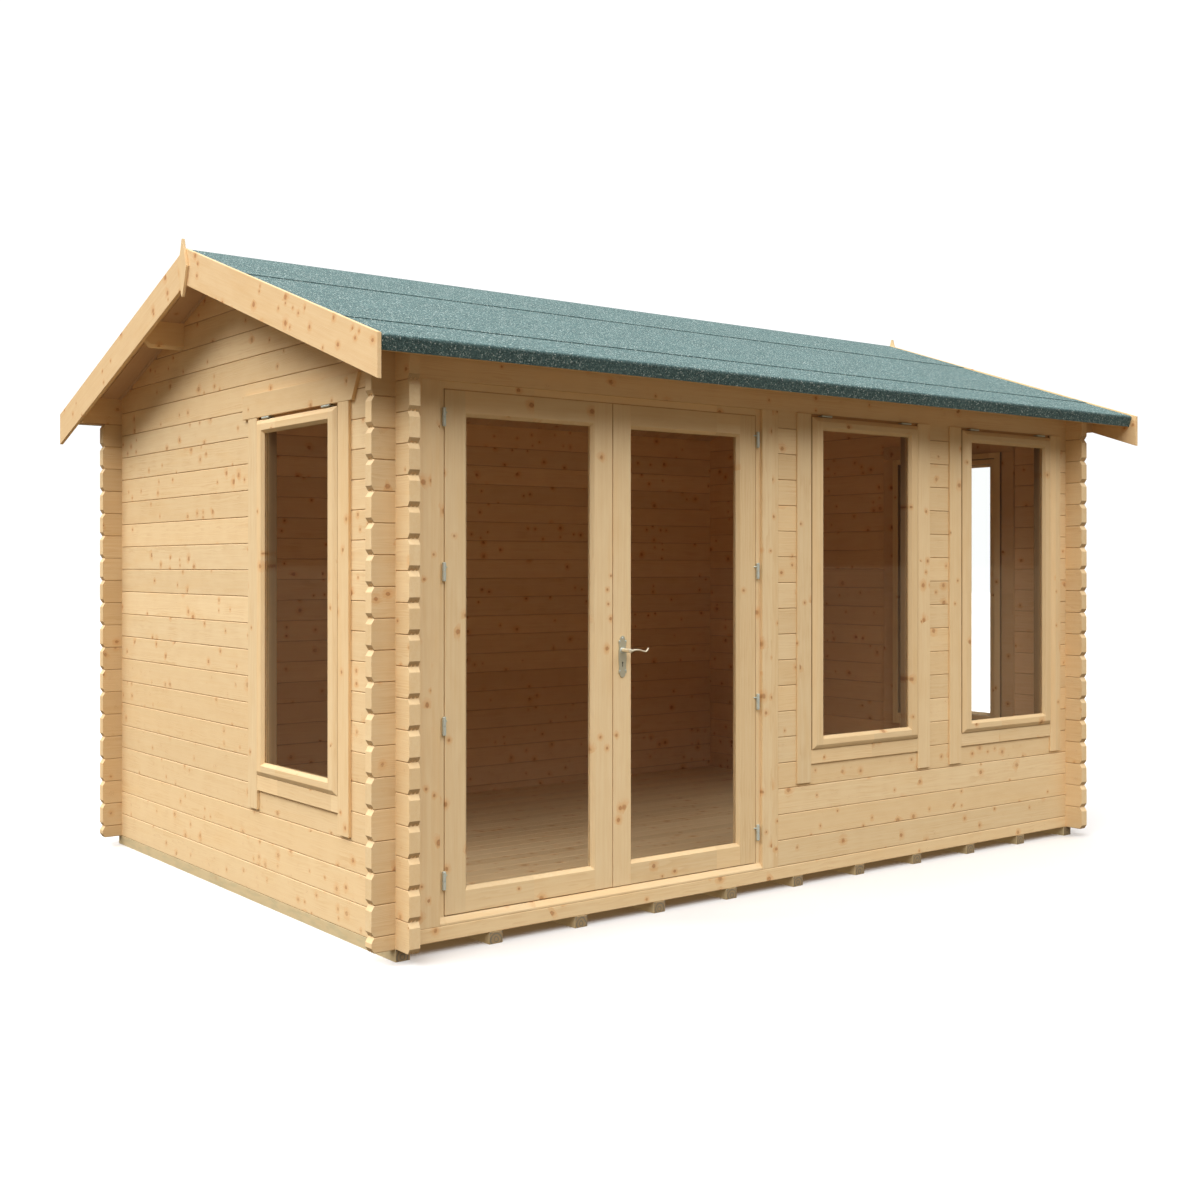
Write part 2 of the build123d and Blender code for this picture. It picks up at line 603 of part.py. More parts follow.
def handle_plates():
    """A long plate with a shaped outline on each face of the right leaf, pierced for spindle and key."""
    centre_z = LEVER_Z - PLATE_CENTRE_DROP
    upper = [(half, height) for height, half in PLATE_OUTLINE]
    lower = [(half, -height) for half, height in reversed(upper[:-1])]
    right = upper + lower
    left = [(-half, height) for half, height in reversed(right)]
    shape = make_face(Polyline(*right, *left, close=True))
    shape -= Pos(0, PLATE_CENTRE_DROP) * Circle(SPINDLE_RADIUS + SPINDLE_CLEARANCE)
    shape -= Pos(0, -KEYHOLE_DROP) * Circle(KEYHOLE_RADIUS)
    shape -= Pos(0, -KEYHOLE_DROP - KEY_SLOT_LONG / 2) * Rectangle(KEY_SLOT_WIDE, KEY_SLOT_LONG)
    plate = extrude(shape, amount=PLATE_THICK)
    outside = Pos(LEVER_X, LEAF_FACE_Y, centre_z) * Rot(90, 0, 0) * plate
    inside = Pos(LEVER_X, LEAF_FACE_Y + LEAF_THICK + PLATE_THICK, centre_z) * Rot(90, 0, 0) * plate
    return Compound(children=[outside, inside])


def lever_arm():
    """One curved arm in its own frame: it starts on the spindle line and reaches along X."""
    path = Spline([(reach, 0, rise) for reach, rise in LEVER_PATH])
    section = Plane(origin=path @ 0, z_dir=path % 0) * Circle(LEVER_ARM_RADIUS)
    tip = Pos(LEVER_PATH[-1][0], 0, LEVER_PATH[-1][1]) * Sphere(LEVER_TIP_RADIUS)
    return sweep(section, path=path) + tip


def door_lever():
    """Spindle, with a hub and a curved lever at each face of the right leaf."""
    arm_y = LEAF_THICK / 2 + LEVER_PROUD
    hub_in = LEAF_THICK / 2 + PLATE_THICK + SPINDLE_CLEARANCE
    hub_out = arm_y + LEVER_HUB_PAST
    lever = Rot(90, 0, 0) * Cylinder(SPINDLE_RADIUS, 2 * arm_y)
    for side in (-1, 1):
        hub = Rot(90, 0, 0) * Cylinder(LEVER_HUB_RADIUS, hub_out - hub_in)
        lever += Pos(0, side * (hub_in + hub_out) / 2, 0) * hub
        lever += Pos(0, side * arm_y, 0) * lever_arm()
    return Pos(LEVER_X, LEAF_FACE_Y + LEAF_THICK / 2, LEVER_Z) * lever


# ---------------------------------------------------------------- windows
# A window is made facing -Y with its centre at x = 0, the wall face at y = 0 and the opening's sill at z = 0.
def place_window(index):
    """Where each window stands: two in the front, then the left and the right gable."""
    if index < 2:
        return Pos(FRONT_WINDOW_X[index], -FACE_Y, FRONT_OPENING_Z)
    side = -1 if index == 2 else 1
    return Pos(side * FACE_X, GABLE_WINDOW_Y, GABLE_OPENING_Z) * Rot(0, 0, side * 90)


def window_frame():
    """The fixed frame in the opening, set back behind the wall face."""
    half = OPENING_HALF
    front = WINDOW_FRAME_SETBACK
    back = front + WINDOW_FRAME_DEEP
    frame = block(-half, half, front, back, 0, WINDOW_OPENING_HIGH)
    inner = half - WINDOW_FRAME_WIDE
    low = SASH_BOTTOM + SASH_FRAME_LAP - SASH_FRAME_GAP
    high = SASH_TOP - SASH_FRAME_LAP + SASH_FRAME_GAP
    return frame - block(-inner, inner, front - 1, back + 1, low, high)


def window_sash():
    """The top-hung sash: a lipped frame with a bevelled outer edge and glazing beads."""
    z_mid = (SASH_BOTTOM + SASH_TOP) / 2
    high = (SASH_TOP - SASH_BOTTOM) / 2
    face = -SASH_PROUD
    edge_y = face + SASH_EDGE_DEEP
    edge = SASH_EDGE_WIDE
    sash = block(-SASH_HALF, SASH_HALF, edge_y, SASH_LIP_BACK, SASH_BOTTOM, SASH_TOP)
    sash += funnel(SASH_HALF - edge, high - edge, face, SASH_HALF, high, edge_y, z_mid)
    body_half = SASH_HALF - SASH_FRAME_LAP
    body_high = high - SASH_FRAME_LAP
    sash += block(-body_half, body_half, SASH_LIP_BACK, SASH_BODY_BACK, z_mid - body_high, z_mid + body_high)
    open_half = SASH_HALF - SASH_STILE
    open_high = high - SASH_RAIL
    pane_half = open_half - BEAD_WIDE
    pane_high = open_high - BEAD_WIDE
    glass_face = face + BEAD_DEEP
    glass_back = glass_face + PANE_THICK
    bead_back = glass_back + BEAD_DEEP
    sash -= funnel(open_half, open_high, face, pane_half, pane_high, glass_face, z_mid)
    sash -= funnel(pane_half, pane_high, glass_back, open_half, open_high, bead_back, z_mid)
    sash -= block(-open_half, open_half, bead_back, SASH_BODY_BACK, z_mid - open_high, z_mid + open_high)
    rebate_half = pane_half + PANE_REBATE
    rebate_high = pane_high + PANE_REBATE
    rebate = block(-rebate_half, rebate_half, glass_face, glass_back, z_mid - rebate_high, z_mid + rebate_high)
    return sash - rebate


def window_pane():
    """The glass of one sash."""
    inset = SASH_STILE + BEAD_WIDE - PANE_REBATE
    drop = SASH_RAIL + BEAD_WIDE - PANE_REBATE
    y0 = -SASH_PROUD + BEAD_DEEP
    half = SASH_HALF - inset
    return block(-half, half, y0, y0 + PANE_THICK, SASH_BOTTOM + drop, SASH_TOP - drop)


def window_outer_boards(thick):
    """Side boards and apron outside."""
    half = WINDOW_TRIM_INNER - FIT_GAP
    boards = [block(-half, half, APRON_SETBACK - thick, 0, -APRON_BELOW_OPENING, SASH_BOTTOM - 2 * FIT_GAP)]
    top = WINDOW_OPENING_HIGH - GABLE_HEADER_LAP
    for side in (-1, 1):
        x0, x1 = sorted((side * WINDOW_TRIM_INNER, side * WINDOW_TRIM_OUTER))
        boards.append(block(x0, x1, -thick, 0, -TRIM_BELOW_OPENING, top))
    return boards


def window_inner_boards():
    """The four boards round the frame inside the room."""
    y0 = LOG_THICK
    y1 = LOG_THICK + INNER_TRIM_THICK
    inner = OPENING_HALF + FIT_GAP
    outer = inner + INNER_BOARD_WIDE
    low = -FIT_GAP
    high = WINDOW_OPENING_HIGH + FIT_GAP
    boards = [block(-outer, outer, y0, y1, low - INNER_BOARD_WIDE, low),
              block(-outer, outer, y0, y1, high, high + INNER_BOARD_WIDE)]
    for side in (-1, 1):
        x0, x1 = sorted((side * inner, side * outer))
        boards.append(block(x0, x1, y0, y1, 0, WINDOW_OPENING_HIGH))
    return boards


def window_hinges():
    """Two hinges in the gap over the sash."""
    z = SASH_TOP + WINDOW_HINGE_ABOVE_SASH
    y = WINDOW_HINGE_SETBACK - SASH_PROUD
    half_long = WINDOW_HINGE_LONG / 2
    half_flap = WINDOW_HINGE_FLAP / 2
    pieces = []
    for side in (-1, 1):
        x = side * WINDOW_HINGE_X
        barrel = Pos(x, y, z) * Rot(0, 90, 0) * Cylinder(WINDOW_HINGE_RADIUS, WINDOW_HINGE_LONG)
        flap = block(x - half_long, x + half_long, y, WINDOW_FRAME_SETBACK, z - half_flap, z + half_flap)
        pieces.append(barrel + flap)
    return pieces


def at_all_windows(pieces_of_each):
    """The boards or fittings of the four windows, each list at its own window, as one compound."""
    placed = []
    for index, pieces in enumerate(pieces_of_each):
        placed += [place_window(index) * piece for piece in pieces]
    return Compound(children=placed)


# ---------------------------------------------------------------- all nodes
WINDOW_NAMES = ("front_middle_window", "front_right_window", "left_gable_window", "right_gable_window")
OUTER_BOARD_THICKS = (FRONT_TRIM_THICK, FRONT_TRIM_THICK, GABLE_TRIM_THICK, GABLE_TRIM_THICK)


def front_openings():
    """The doorway and the two window openings in the front wall."""
    door = (DOOR_X - POST_OUTER, DOOR_X + POST_OUTER, SILL_LOG_TOP, FRONT_OPENING_TOP)
    windows = [(x - OPENING_HALF, x + OPENING_HALF, FRONT_OPENING_Z, FRONT_OPENING_TOP) for x in FRONT_WINDOW_X]
    return [door] + windows


def front_wall(x0, x1):
    """The logs of the front wall between x0 and x1, from the sill log to the top log."""
    return long_wall(-1, x0, x1, SILL_LOG_TOP, FRONT_TOP_JOINT, front_openings()[1:])


def front_top_log():
    """The tall top log of the front wall, cut out over the doors and windows."""
    lower = long_wall(-1, -TAIL_X, TAIL_X, FRONT_TOP_JOINT, TOP_LOG_JOINT, front_openings())
    return lower + top_log(-1)


def build_nodes():
    """Every subcomponent by name."""
    nodes = {
        "floor_bearers": floor_bearers(),
        "floor": floor(),
        "front_sill_log": long_wall(-1, -TAIL_X, TAIL_X, LOG_BASE, SILL_LOG_TOP),
        "front_wall_left": front_wall(-TAIL_X, DOOR_X - POST_OUTER),
        "front_wall_right": front_wall(DOOR_X + POST_OUTER, TAIL_X),
        "front_top_log": front_top_log(),
        "back_wall": long_wall(1, -TAIL_X, TAIL_X, LOG_BASE, TOP_LOG_JOINT),
        "back_top_log": top_log(1),
        "left_gable_wall": gable_wall(-1),
        "right_gable_wall": gable_wall(1),
        "purlins": purlins(),
        "roof_boards_front": roof_boards(-1),
        "roof_boards_back": roof_boards(1),
        "eave_battens": eave_battens(),
        "felt_ridge_strip": felt_ridge_strip(),
        "felt_middle_strips": felt_middle_strips(),
        "felt_eave_strips": felt_eave_strips(),
        "barge_boards_front": barge_boards(-1),
        "barge_boards_back": barge_boards(1),
        "finials": finials(),
        "gable_header_boards": gable_header_boards(),
        "door_frame": door_frame(),
        "door_posts": door_posts(),
        "door_inner_trims": door_inner_trims(),
        "door_leaf_left": door_leaf(-1),
        "door_leaf_right": door_leaf(1),
        "door_glass_left": door_glass(-1),
        "door_glass_right": door_glass(1),
        "door_hinges_left": leaf_hinges(-1),
        "door_hinges_right": leaf_hinges(1),
        "door_hinges_frame": frame_hinges(),
        "handle_plates": handle_plates(),
        "door_lever": door_lever(),
        "window_glass": at_all_windows([[window_pane()]] * 4),
        "window_outer_boards": at_all_windows([window_outer_boards(thick) for thick in OUTER_BOARD_THICKS]),
        "window_inner_boards": at_all_windows([window_inner_boards()] * 4),
        "window_hinges": at_all_windows([window_hinges()] * 4),
    }
    for index, name in enumerate(WINDOW_NAMES):
        nodes[name + "_frame"] = place_window(index) * window_frame()
        nodes[name + "_sash"] = place_window(index) * window_sash()
    return nodes


os.makedirs("parts", exist_ok=True)
for node_name, shape in build_nodes().items():
    export_step(shape, "parts/" + node_name + ".step")
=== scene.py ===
# %% [markdown]
# # A garden log cabin, dressed
#
# The cabin is a kit of interlocking spruce logs with glazed double doors, four
# top-hung windows and a felted roof. Its shape comes from a CAD model that is
# loaded first and is never moved. This lesson lays its logs and boards one by
# one, refines the fittings, and gives every piece its finish.
#
# Lengths are in metres. +Z is up, the doors face -Y, and +X runs to the right
# along the front wall.

# %% Load the frame
import json
import math
from functools import partialmethod

import bmesh
import bpy
import numpy as np
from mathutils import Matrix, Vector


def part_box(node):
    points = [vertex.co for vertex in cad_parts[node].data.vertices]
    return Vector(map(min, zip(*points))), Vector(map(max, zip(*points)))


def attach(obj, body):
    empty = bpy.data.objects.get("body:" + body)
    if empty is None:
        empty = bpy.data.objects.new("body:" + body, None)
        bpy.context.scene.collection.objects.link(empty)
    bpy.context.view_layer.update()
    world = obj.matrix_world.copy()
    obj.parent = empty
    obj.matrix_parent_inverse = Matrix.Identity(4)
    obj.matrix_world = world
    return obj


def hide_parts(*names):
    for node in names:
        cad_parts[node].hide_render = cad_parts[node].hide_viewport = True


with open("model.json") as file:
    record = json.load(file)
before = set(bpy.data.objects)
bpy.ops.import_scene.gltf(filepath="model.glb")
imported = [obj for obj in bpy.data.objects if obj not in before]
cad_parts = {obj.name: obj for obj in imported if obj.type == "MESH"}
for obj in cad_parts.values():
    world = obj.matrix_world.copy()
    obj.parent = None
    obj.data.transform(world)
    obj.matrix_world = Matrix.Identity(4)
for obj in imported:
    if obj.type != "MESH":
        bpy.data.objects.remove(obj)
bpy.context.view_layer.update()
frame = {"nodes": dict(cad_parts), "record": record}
nodes = frame["nodes"]


# %% [markdown]
# ## Camera
#
# The cabin is seen from the front left at eye level. The camera could be
# tilted to frame it, but then its walls would lean. A level camera with a small
# lens shift keeps upright edges upright.

# %% Set up the camera
lens = bpy.data.cameras.new("eye_level")
lens.sensor_width = 36.0
lens.lens = 43.603
lens.shift_x = -0.00136
lens.shift_y = -0.02813
camera = bpy.data.objects.new("eye_level", lens)
camera.location = (-4.66813, -6.03213, 1.42980)
camera.rotation_euler = (math.radians(90), 0, math.radians(-37.706))
bpy.context.scene.collection.objects.link(camera)
bpy.context.scene.camera = camera
print("camera stands", round(-camera.location.y, 2), "m in front of the middle of the cabin")


# %% [markdown]
# ## Small tools for shader trees
#
# A finish is a tree of shader nodes. `Value` stands for what comes out of a
# node, and arithmetic on it adds Math nodes, so a formula reads as a formula.
# `result` makes a node and gives what it puts out, and `fade` turns a rising
# value into a smooth 0 to 1. The trees could be linked socket by socket, but
# that takes five lines for each sum and hides what is worked out.

# %% Define the shader helpers
class Value:
    """A number, point or colour that shader nodes work out. Arithmetic on it adds a Math node to its tree."""

    def __init__(self, socket):
        self.socket, self.tree = socket, socket.id_data

    def calc(self, operation, *others):
        """The result of one Math node whose first input is this value."""
        return result("Math", self, *others, operation=operation)

    def line(self, slope, start):
        """slope * value + start, in one node."""
        return self.calc("MULTIPLY_ADD", slope, start)

    def parts(self, kind="XYZ"):
        """The three parts of a point, or of a colour if kind is Color."""
        return [Value(socket) for socket in add(self.tree, "Separate" + kind, self).outputs]

    def __rsub__(self, number):
        return result("Math", number, self, operation="SUBTRACT")

    __add__ = partialmethod(calc, "ADD")
    __sub__ = partialmethod(calc, "SUBTRACT")
    __mul__ = partialmethod(calc, "MULTIPLY")
    __truediv__ = partialmethod(calc, "DIVIDE")
    __lt__ = partialmethod(calc, "LESS_THAN")
    __gt__ = partialmethod(calc, "GREATER_THAN")
    __abs__ = partialmethod(calc, "ABSOLUTE")


def plug(value, socket):
    """Links a Value to a socket, or writes a plain number or colour on it. None leaves it alone."""
    if isinstance(value, Value):
        value.tree.links.new(value.socket, socket)
    elif value is not None:
        socket.default_value = value


def add(tree, kind, *values, **settings):
    """A node of that kind. Settings are attributes, and values fill its open sockets in order."""
    made = tree.nodes.new("ShaderNode" + kind)
    for name, setting in settings.items():
        setattr(made, name, setting)
    for socket, value in zip([socket for socket in made.inputs if socket.enabled], values):
        plug(value, socket)
    return made


def result(kind, *values, tree=None, output=0, **settings):
    """What a new node puts out. The node goes into the tree of its first Value, unless a tree is named."""
    if tree is None:
        tree = next(value.tree for value in values if isinstance(value, Value))
    return Value(add(tree, kind, *values, **settings).outputs[output])


def set_sockets(node, **values):
    """Fills a node's sockets by name. An underscore stands for a space."""
    for name, value in values.items():
        plug(value, node.inputs[name.replace("_", " ")])


print("a Value can be added, multiplied and compared")


# %% [markdown]
# Colours are named as they are picked on a screen, and mixed by shares. Fades,
# noises and the place on the object get one short function each, because
# nearly every finish uses them.

# %% Define colours, fades and places
def paint(red, green, blue):
    """A colour picked on a screen, 0 to 255, as the linear values that shaders use."""
    picked = np.array([red, green, blue]) / 255
    linear = np.where(picked <= 0.04045, picked / 12.92, ((picked + 0.055) / 1.055) ** 2.4)
    return (*linear.tolist(), 1.0)


def fade(value, low, high):
    """0 where the value is at low, 1 where it is at high, and smooth between."""
    return result("MapRange", value, low, high, 0.0, 1.0, interpolation_type="SMOOTHSTEP")


def between(value, at_zero, at_one):
    """A straight line: at_zero where the value is 0 and at_one where it is 1."""
    return result("MapRange", value, 0.0, 1.0, at_zero, at_one)


def mixed(share, first, second, how="MIX"):
    """Two colours mixed by a share from 0 to 1."""
    return result("Mix", share, first, second, output=2, data_type="RGBA", blend_type=how, clamp_factor=True)


def coats(base, *layers):
    """A colour under coats of paint, each given as its share and its red, green and blue."""
    for share, tone in layers:
        base = mixed(share, base, paint(*tone))
    return base


def tinted(*tone):
    """A stain that multiplies a colour by one tone."""
    return lambda colour: mixed(1.0, colour, paint(*tone), "MULTIPLY")


def place(x, y, z=0.0):
    """A point made of three values."""
    return result("CombineXYZ", x, y, z)


def span(a, b):
    """The square root of a * a + b * b."""
    return (a * a + b * b).calc("SQRT")


def soft_noise(point, size, detail=2.0, rough=0.5):
    """Smooth random values about 0.5 with features of that size, in metres."""
    return result("TexNoise", point, 1 / size, detail, rough)


def object_point(tree):
    """The place on the object."""
    return result("TexCoord", tree=tree, output="Object")


def looks(tree):
    """The direction that the surface looks in."""
    return result("NewGeometry", tree=tree, output="Normal")


def marks_on(tree, name, output="Fac"):
    """An attribute of the mesh."""
    return result("Attribute", tree=tree, output=output, attribute_name=name)


def bumps(height, strength, most):
    """The surface's direction as if it rose by the height, up to so many metres."""
    return result("Bump", strength, most, None, height)


def new_finish(name):
    """A material with its tree and its Principled shader."""
    finish = bpy.data.materials.new(name)
    finish.use_nodes = True
    return finish, finish.node_tree, finish.node_tree.nodes["Principled BSDF"]


print("shader helpers ready")


# %% [markdown]
# ## Studio
#
# The light is a wide band of white cloth hung high round the cabin and lit from
# behind: it is bright between thirty and sixty degrees up, brighter to the
# left and a little towards the back there, so that the log ends at the corner
# stay softer than the gable. There is next to nothing at eye level: the eaves
# throw a deep soft shade over the doors, and the glass stays free of
# reflections. From below comes a weak warm fill, as a wooden floor would give.
# The camera itself sees plain white. Area lamps could do the same, but each
# leaves a shadow edge of its own, and the sky gives one soft light.

# %% Set up the soft studio sky
scene = bpy.context.scene
scene.view_settings.view_transform = "Standard"
scene.view_settings.look = "None"
sky = bpy.data.worlds.new("soft_studio")
sky.use_nodes = True
scene.world = sky
tree = sky.node_tree
tree.nodes.clear()
east, north, up = result("TexCoord", tree=tree, output="Generated").parts()
band = fade(up, 0.36, 0.64) * fade(up, 0.70, 1.0).line(-0.9, 1.0)
around = (east.line(-0.80, 1.0) + east * north * -0.65).calc("MAXIMUM", 0.1)
from_above = result("Background", (1.0, 0.995, 0.99, 1.0), band * around * 3.72 + 0.05)
from_below = result("Background", (1.0, 0.81, 0.57, 1.0), abs(up).line(-0.308, 0.438))
lit = result("MixShader", up > 0.0, from_below, from_above)
seen = result("Background", (1.0, 1.0, 1.0, 1.0), 1.10, tree=tree)
straight = result("LightPath", tree=tree, output="Is Camera Ray")
add(tree, "OutputWorld", result("MixShader", straight, lit, seen))
print("sky has", len(tree.nodes), "nodes")


# %% [markdown]
# The floor is one large pale sheet at the cabin's foot. Without it the cabin
# would float. It takes the cabin's shade but throws no light back, so that the
# light from below stays the sky's.

# %% Lay the studio floor
finish, tree, shader = new_finish("studio_floor")
set_sockets(shader, Base_Color=(0.90, 0.90, 0.90, 1.0), Roughness=0.9, Specular_IOR_Level=0.1)
FLOOR_HALF = 60.0
sheet = bpy.data.meshes.new("studio_floor")
sheet.from_pydata([(x, y, 0) for x, y in FLOOR_HALF * np.array([(-1, -1), (1, -1), (1, 1), (-1, 1)])], [],
                  [(0, 1, 2, 3)])
sheet.materials.append(finish)
studio_floor = bpy.data.objects.new("studio_floor", sheet)
scene.collection.objects.link(studio_floor)
studio_floor.visible_diffuse = studio_floor.visible_glossy = False
print("studio ready")


# %% [markdown]
# ## Spruce
#
# Every board and log is spruce sawn from a round trunk. Its figure is therefore
# solid: growth rings are cylinders round a pith that lies somewhere beside the
# board, and knots are branches that cross it. The group below works in a
# board's own directions: along the grain, across the face, and deep into the
# board. A number for each board moves the pith and the knots, so that no two
# boards match.
#
# * Rings: distance from the pith, cut into bands of about 3 mm, with a slow
#   darkening and a sudden end, as summer wood has.
# * Knots: random points in cells of about 6 cm. Branches grow in whorls, so a
#   slow noise makes knots likely in some stretches and rare in others. The
#   grain bends round a knot, and the wood beside it is orange with resin.
# * Fibres: fine noise drawn out along the grain.
#
# Wood pictures could be wrapped round the boards, but their joints show at the
# edges. A solid figure meets itself on every face, also where a log is notched.

# %% Make the knots
KNOT_CELLS = 17.0


def knots_of(along, across, deep, dice, amount):
    """Heart, rim and halo of the knots, and how far a point lies across from its knot."""
    row = dice.line(5.0, across)
    cells = add(row.tree, "TexVoronoi", place(along, row), KNOT_CELLS, voronoi_dimensions="2D", feature="F1")
    cells.inputs["Randomness"].default_value = 1.0
    spot = Value(cells.outputs["Position"]).parts()
    luck = Value(cells.outputs["Color"]).parts("Color")
    whorl = soft_noise(place(spot[0], spot[1] * 0.4), 0.16, 1.0)
    present = luck[0] < amount * between(fade(whorl, 0.42, 0.66), 0.05, 0.34)
    size = luck[2].calc("POWER", 2.0).line(0.0065, 0.0045)
    beside = row - spot[1]
    far = span((along - spot[0]) * between(luck[2], 1.06, 0.90), beside * between(luck[1], 0.86, 1.12))
    ragged = soft_noise(place(along, across, deep), 0.008, 2.0)
    ratio = far / size * between(ragged, 0.6, 1.4)
    heart = (1.0 - fade(ratio, 0.35, 1.35)) * present
    rim = fade(ratio, 0.35, 0.75) * (1.0 - fade(ratio, 0.80, 1.25)) * present * between(luck[1], 0.25, 1.0)
    halo = (1.0 - fade(ratio, 0.6, 4.2)) * present
    return heart, rim, halo, beside


print("knots are cut in cells of", round(1 / KNOT_CELLS, 3), "m")


# %% [markdown]
# A year's ring is pale where it grew in spring and dark where it grew in
# summer. The rings of this trunk are 1 / 300 m apart.

# %% Make the growth rings
RINGS_PER_METRE = 300.0


def rings_of(along, across, deep, board, dice, amount):
    """Darkness of the summer wood: rings round a pith that drifts along the board."""
    drift = soft_noise(place(along, board * 3.3), 2.4, 1.0)
    pith = between(dice[1], -0.07, 0.07) + between(drift, -0.045, 0.045)
    radius = span(across - pith, deep - between(dice[2], 0.028, 0.085))
    waver = soft_noise(place(along * 0.12, across, deep), 0.02, 2.0)
    year = radius.line(RINGS_PER_METRE, waver * 2.2).calc("FRACT")
    summer = fade(year, 0.25, 0.90) * (1.0 - fade(year, 0.93, 1.0))
    strong = soft_noise(place(along * 0.3, radius), 0.035, 1.0)
    return summer * (fade(strong, 0.25, 0.75) * amount)


print("growth rings are", round(1000 / RINGS_PER_METRE, 1), "mm apart")


# %% [markdown]
# The group lays the colours over each other, from the pale ground to the dark
# rim of the knots, and gives out roughness and height with them.

# %% Put the spruce figure together
FIGURE_INPUTS = ("Along", "Across", "Deep", "Board", "End", "Grain", "Knots")


def dice_for(number):
    """Three random values for a number."""
    return result("TexWhiteNoise", number, output="Color", noise_dimensions="1D").parts("Color")


def spruce_group():
    """Colour, roughness and height of planed spruce at a place in a board."""
    group = bpy.data.node_groups.new("spruce_figure", "ShaderNodeTree")
    for name in FIGURE_INPUTS:
        group.interface.new_socket(name, in_out="INPUT", socket_type="NodeSocketFloat")
    for name, kind in (("Color", "Color"), ("Roughness", "Float"), ("Height", "Float")):
        group.interface.new_socket(name, in_out="OUTPUT", socket_type="NodeSocket" + kind)
    given = group.nodes.new("NodeGroupInput").outputs
    along, across, deep, board, end, grain, knots = (Value(given[name]) for name in FIGURE_INPUTS)
    dice, more = dice_for(board), dice_for(board + 37.7)
    along = dice[0].line(57.0, along)

    amount = knots * between(more[0], 0.5, 1.2) * (1.0 - end)
    heart, rim, halo, beside = knots_of(along, across, deep, dice[1], amount)
    bent = across + beside * (halo * -0.6)
    summer = rings_of(along, bent, deep, board, dice, grain)
    fibre = soft_noise(place(along * 0.02, bent, deep), 0.0011, 2.0, 0.6)
    streak = soft_noise(place(along * 0.035, bent, deep), 0.012, 3.0, 0.6)
    cloud = soft_noise(place(along * 0.25, across, deep), 0.07, 2.0)

    base = coats(mixed(fade(streak, 0.30, 0.72), paint(244, 217, 172), paint(240, 210, 162)),
                 (more[1] * 0.42, (234, 197, 143)),
                 (fade(cloud, 0.50, 0.80) * 0.35, (237, 199, 142)),
                 (summer * 0.30, (208, 158, 98)),
                 (fade(fibre, 0.42, 0.75) * 0.10, (206, 164, 112)),
                 (halo * between(streak, 0.10, 0.95), (228, 170, 108)),
                 (heart * 0.68, (184, 122, 72)),
                 (rim * 0.40, (142, 84, 46)))
    toned = add(group, "VectorMath", base, operation="SCALE")
    set_sockets(toned, Scale=between(more[2], 0.93, 1.04) * end.line(-0.03, 1.0))
    set_sockets(group.nodes.new("NodeGroupOutput"),
                Color=Value(toned.outputs[0]),
                Roughness=heart.line(-0.14, fibre.line(0.16, 0.52)),
                Height=heart.line(0.4, summer.line(0.35, fibre * 0.55)))
    return group


spruce = spruce_group()
print("spruce figure has", len(spruce.nodes), "nodes")


# %% [markdown]
# ## Timber finishes
#
# A board's place and direction come in two ways. A board made in this lesson
# carries them on its mesh, as the attributes `lay` (along, across, deep),
# `board` (its number) and `end_grain`. A CAD board has no such marks, but its
# place tells which way it runs, so a `lay` function works them out. One figure
# then serves every board, and a stain or a painted shade adds what is special to some of them.

# %% Define a timber finish
def timber(name, lay, grain=1.0, knots=1.0, stain_or_shade=None):
    """A finish of spruce whose boards lie as the lay function says, with a stain or painted shade if one is named."""
    finish, tree, shader = new_finish(name)
    figure = add(tree, "Group", node_tree=spruce)
    set_sockets(figure, **dict(zip(FIGURE_INPUTS, (*lay(tree), grain, knots))))
    colour = Value(figure.outputs["Color"])
    set_sockets(shader, Base_Color=stain_or_shade(colour) if stain_or_shade else colour, Roughness=Value(figure.outputs["Roughness"]),
                Specular_IOR_Level=0.3, Normal=bumps(Value(figure.outputs["Height"]), 0.35, 0.0006))
    return finish


def marked(tree):
    """A board that carries its own directions on its mesh."""
    return *marks_on(tree, "lay", "Vector").parts(), marks_on(tree, "board"), marks_on(tree, "end_grain")


def sawn_end(tree, direction):
    """1 where the surface looks along that direction."""
    along = result("VectorMath", looks(tree), direction, output="Value", operation="DOT_PRODUCT")
    return fade(abs(along), 0.70, 0.95)


print("a timber finish has the inputs", FIGURE_INPUTS)


# %% [markdown]
# Three kinds of CAD boards are told apart: those along an axis, those that
# follow the roof, and joinery, where stiles stand and rails lie between them.
# They could be cut apart and unwrapped, but a CAD mesh is left as it is.

# %% Define how CAD boards lie
MM = 0.001
SLOPE = 0.34
LEAN = math.atan(SLOPE)


def single_board(along, across, deep, seed):
    """Lays boards by their axes, 0 to 2. Boards half a metre apart get different numbers."""
    unit = [float(axis == along) for axis in range(3)]

    def lay(tree):
        point = object_point(tree).parts()
        cells = [point[axis].line(2.3, 0.37).calc("FLOOR") for axis in (across, deep)]
        board = cells[0].line(7.0, cells[1] + seed)
        return point[along], point[across], point[deep], board, sawn_end(tree, unit)
    return lay


def down_the_slope(seed):
    """Lays boards that follow the roof's slope, one on each side of the ridge at each gable."""
    def lay(tree):
        x, y, z = object_point(tree).parts()
        out = abs(y)
        along = out * math.cos(LEAN) - z * math.sin(LEAN)
        across = out * math.sin(LEAN) + z * math.cos(LEAN)
        return along, across, x, y.calc("SIGN").line(3.0, x.calc("SIGN")) + seed, 0.0
    return lay


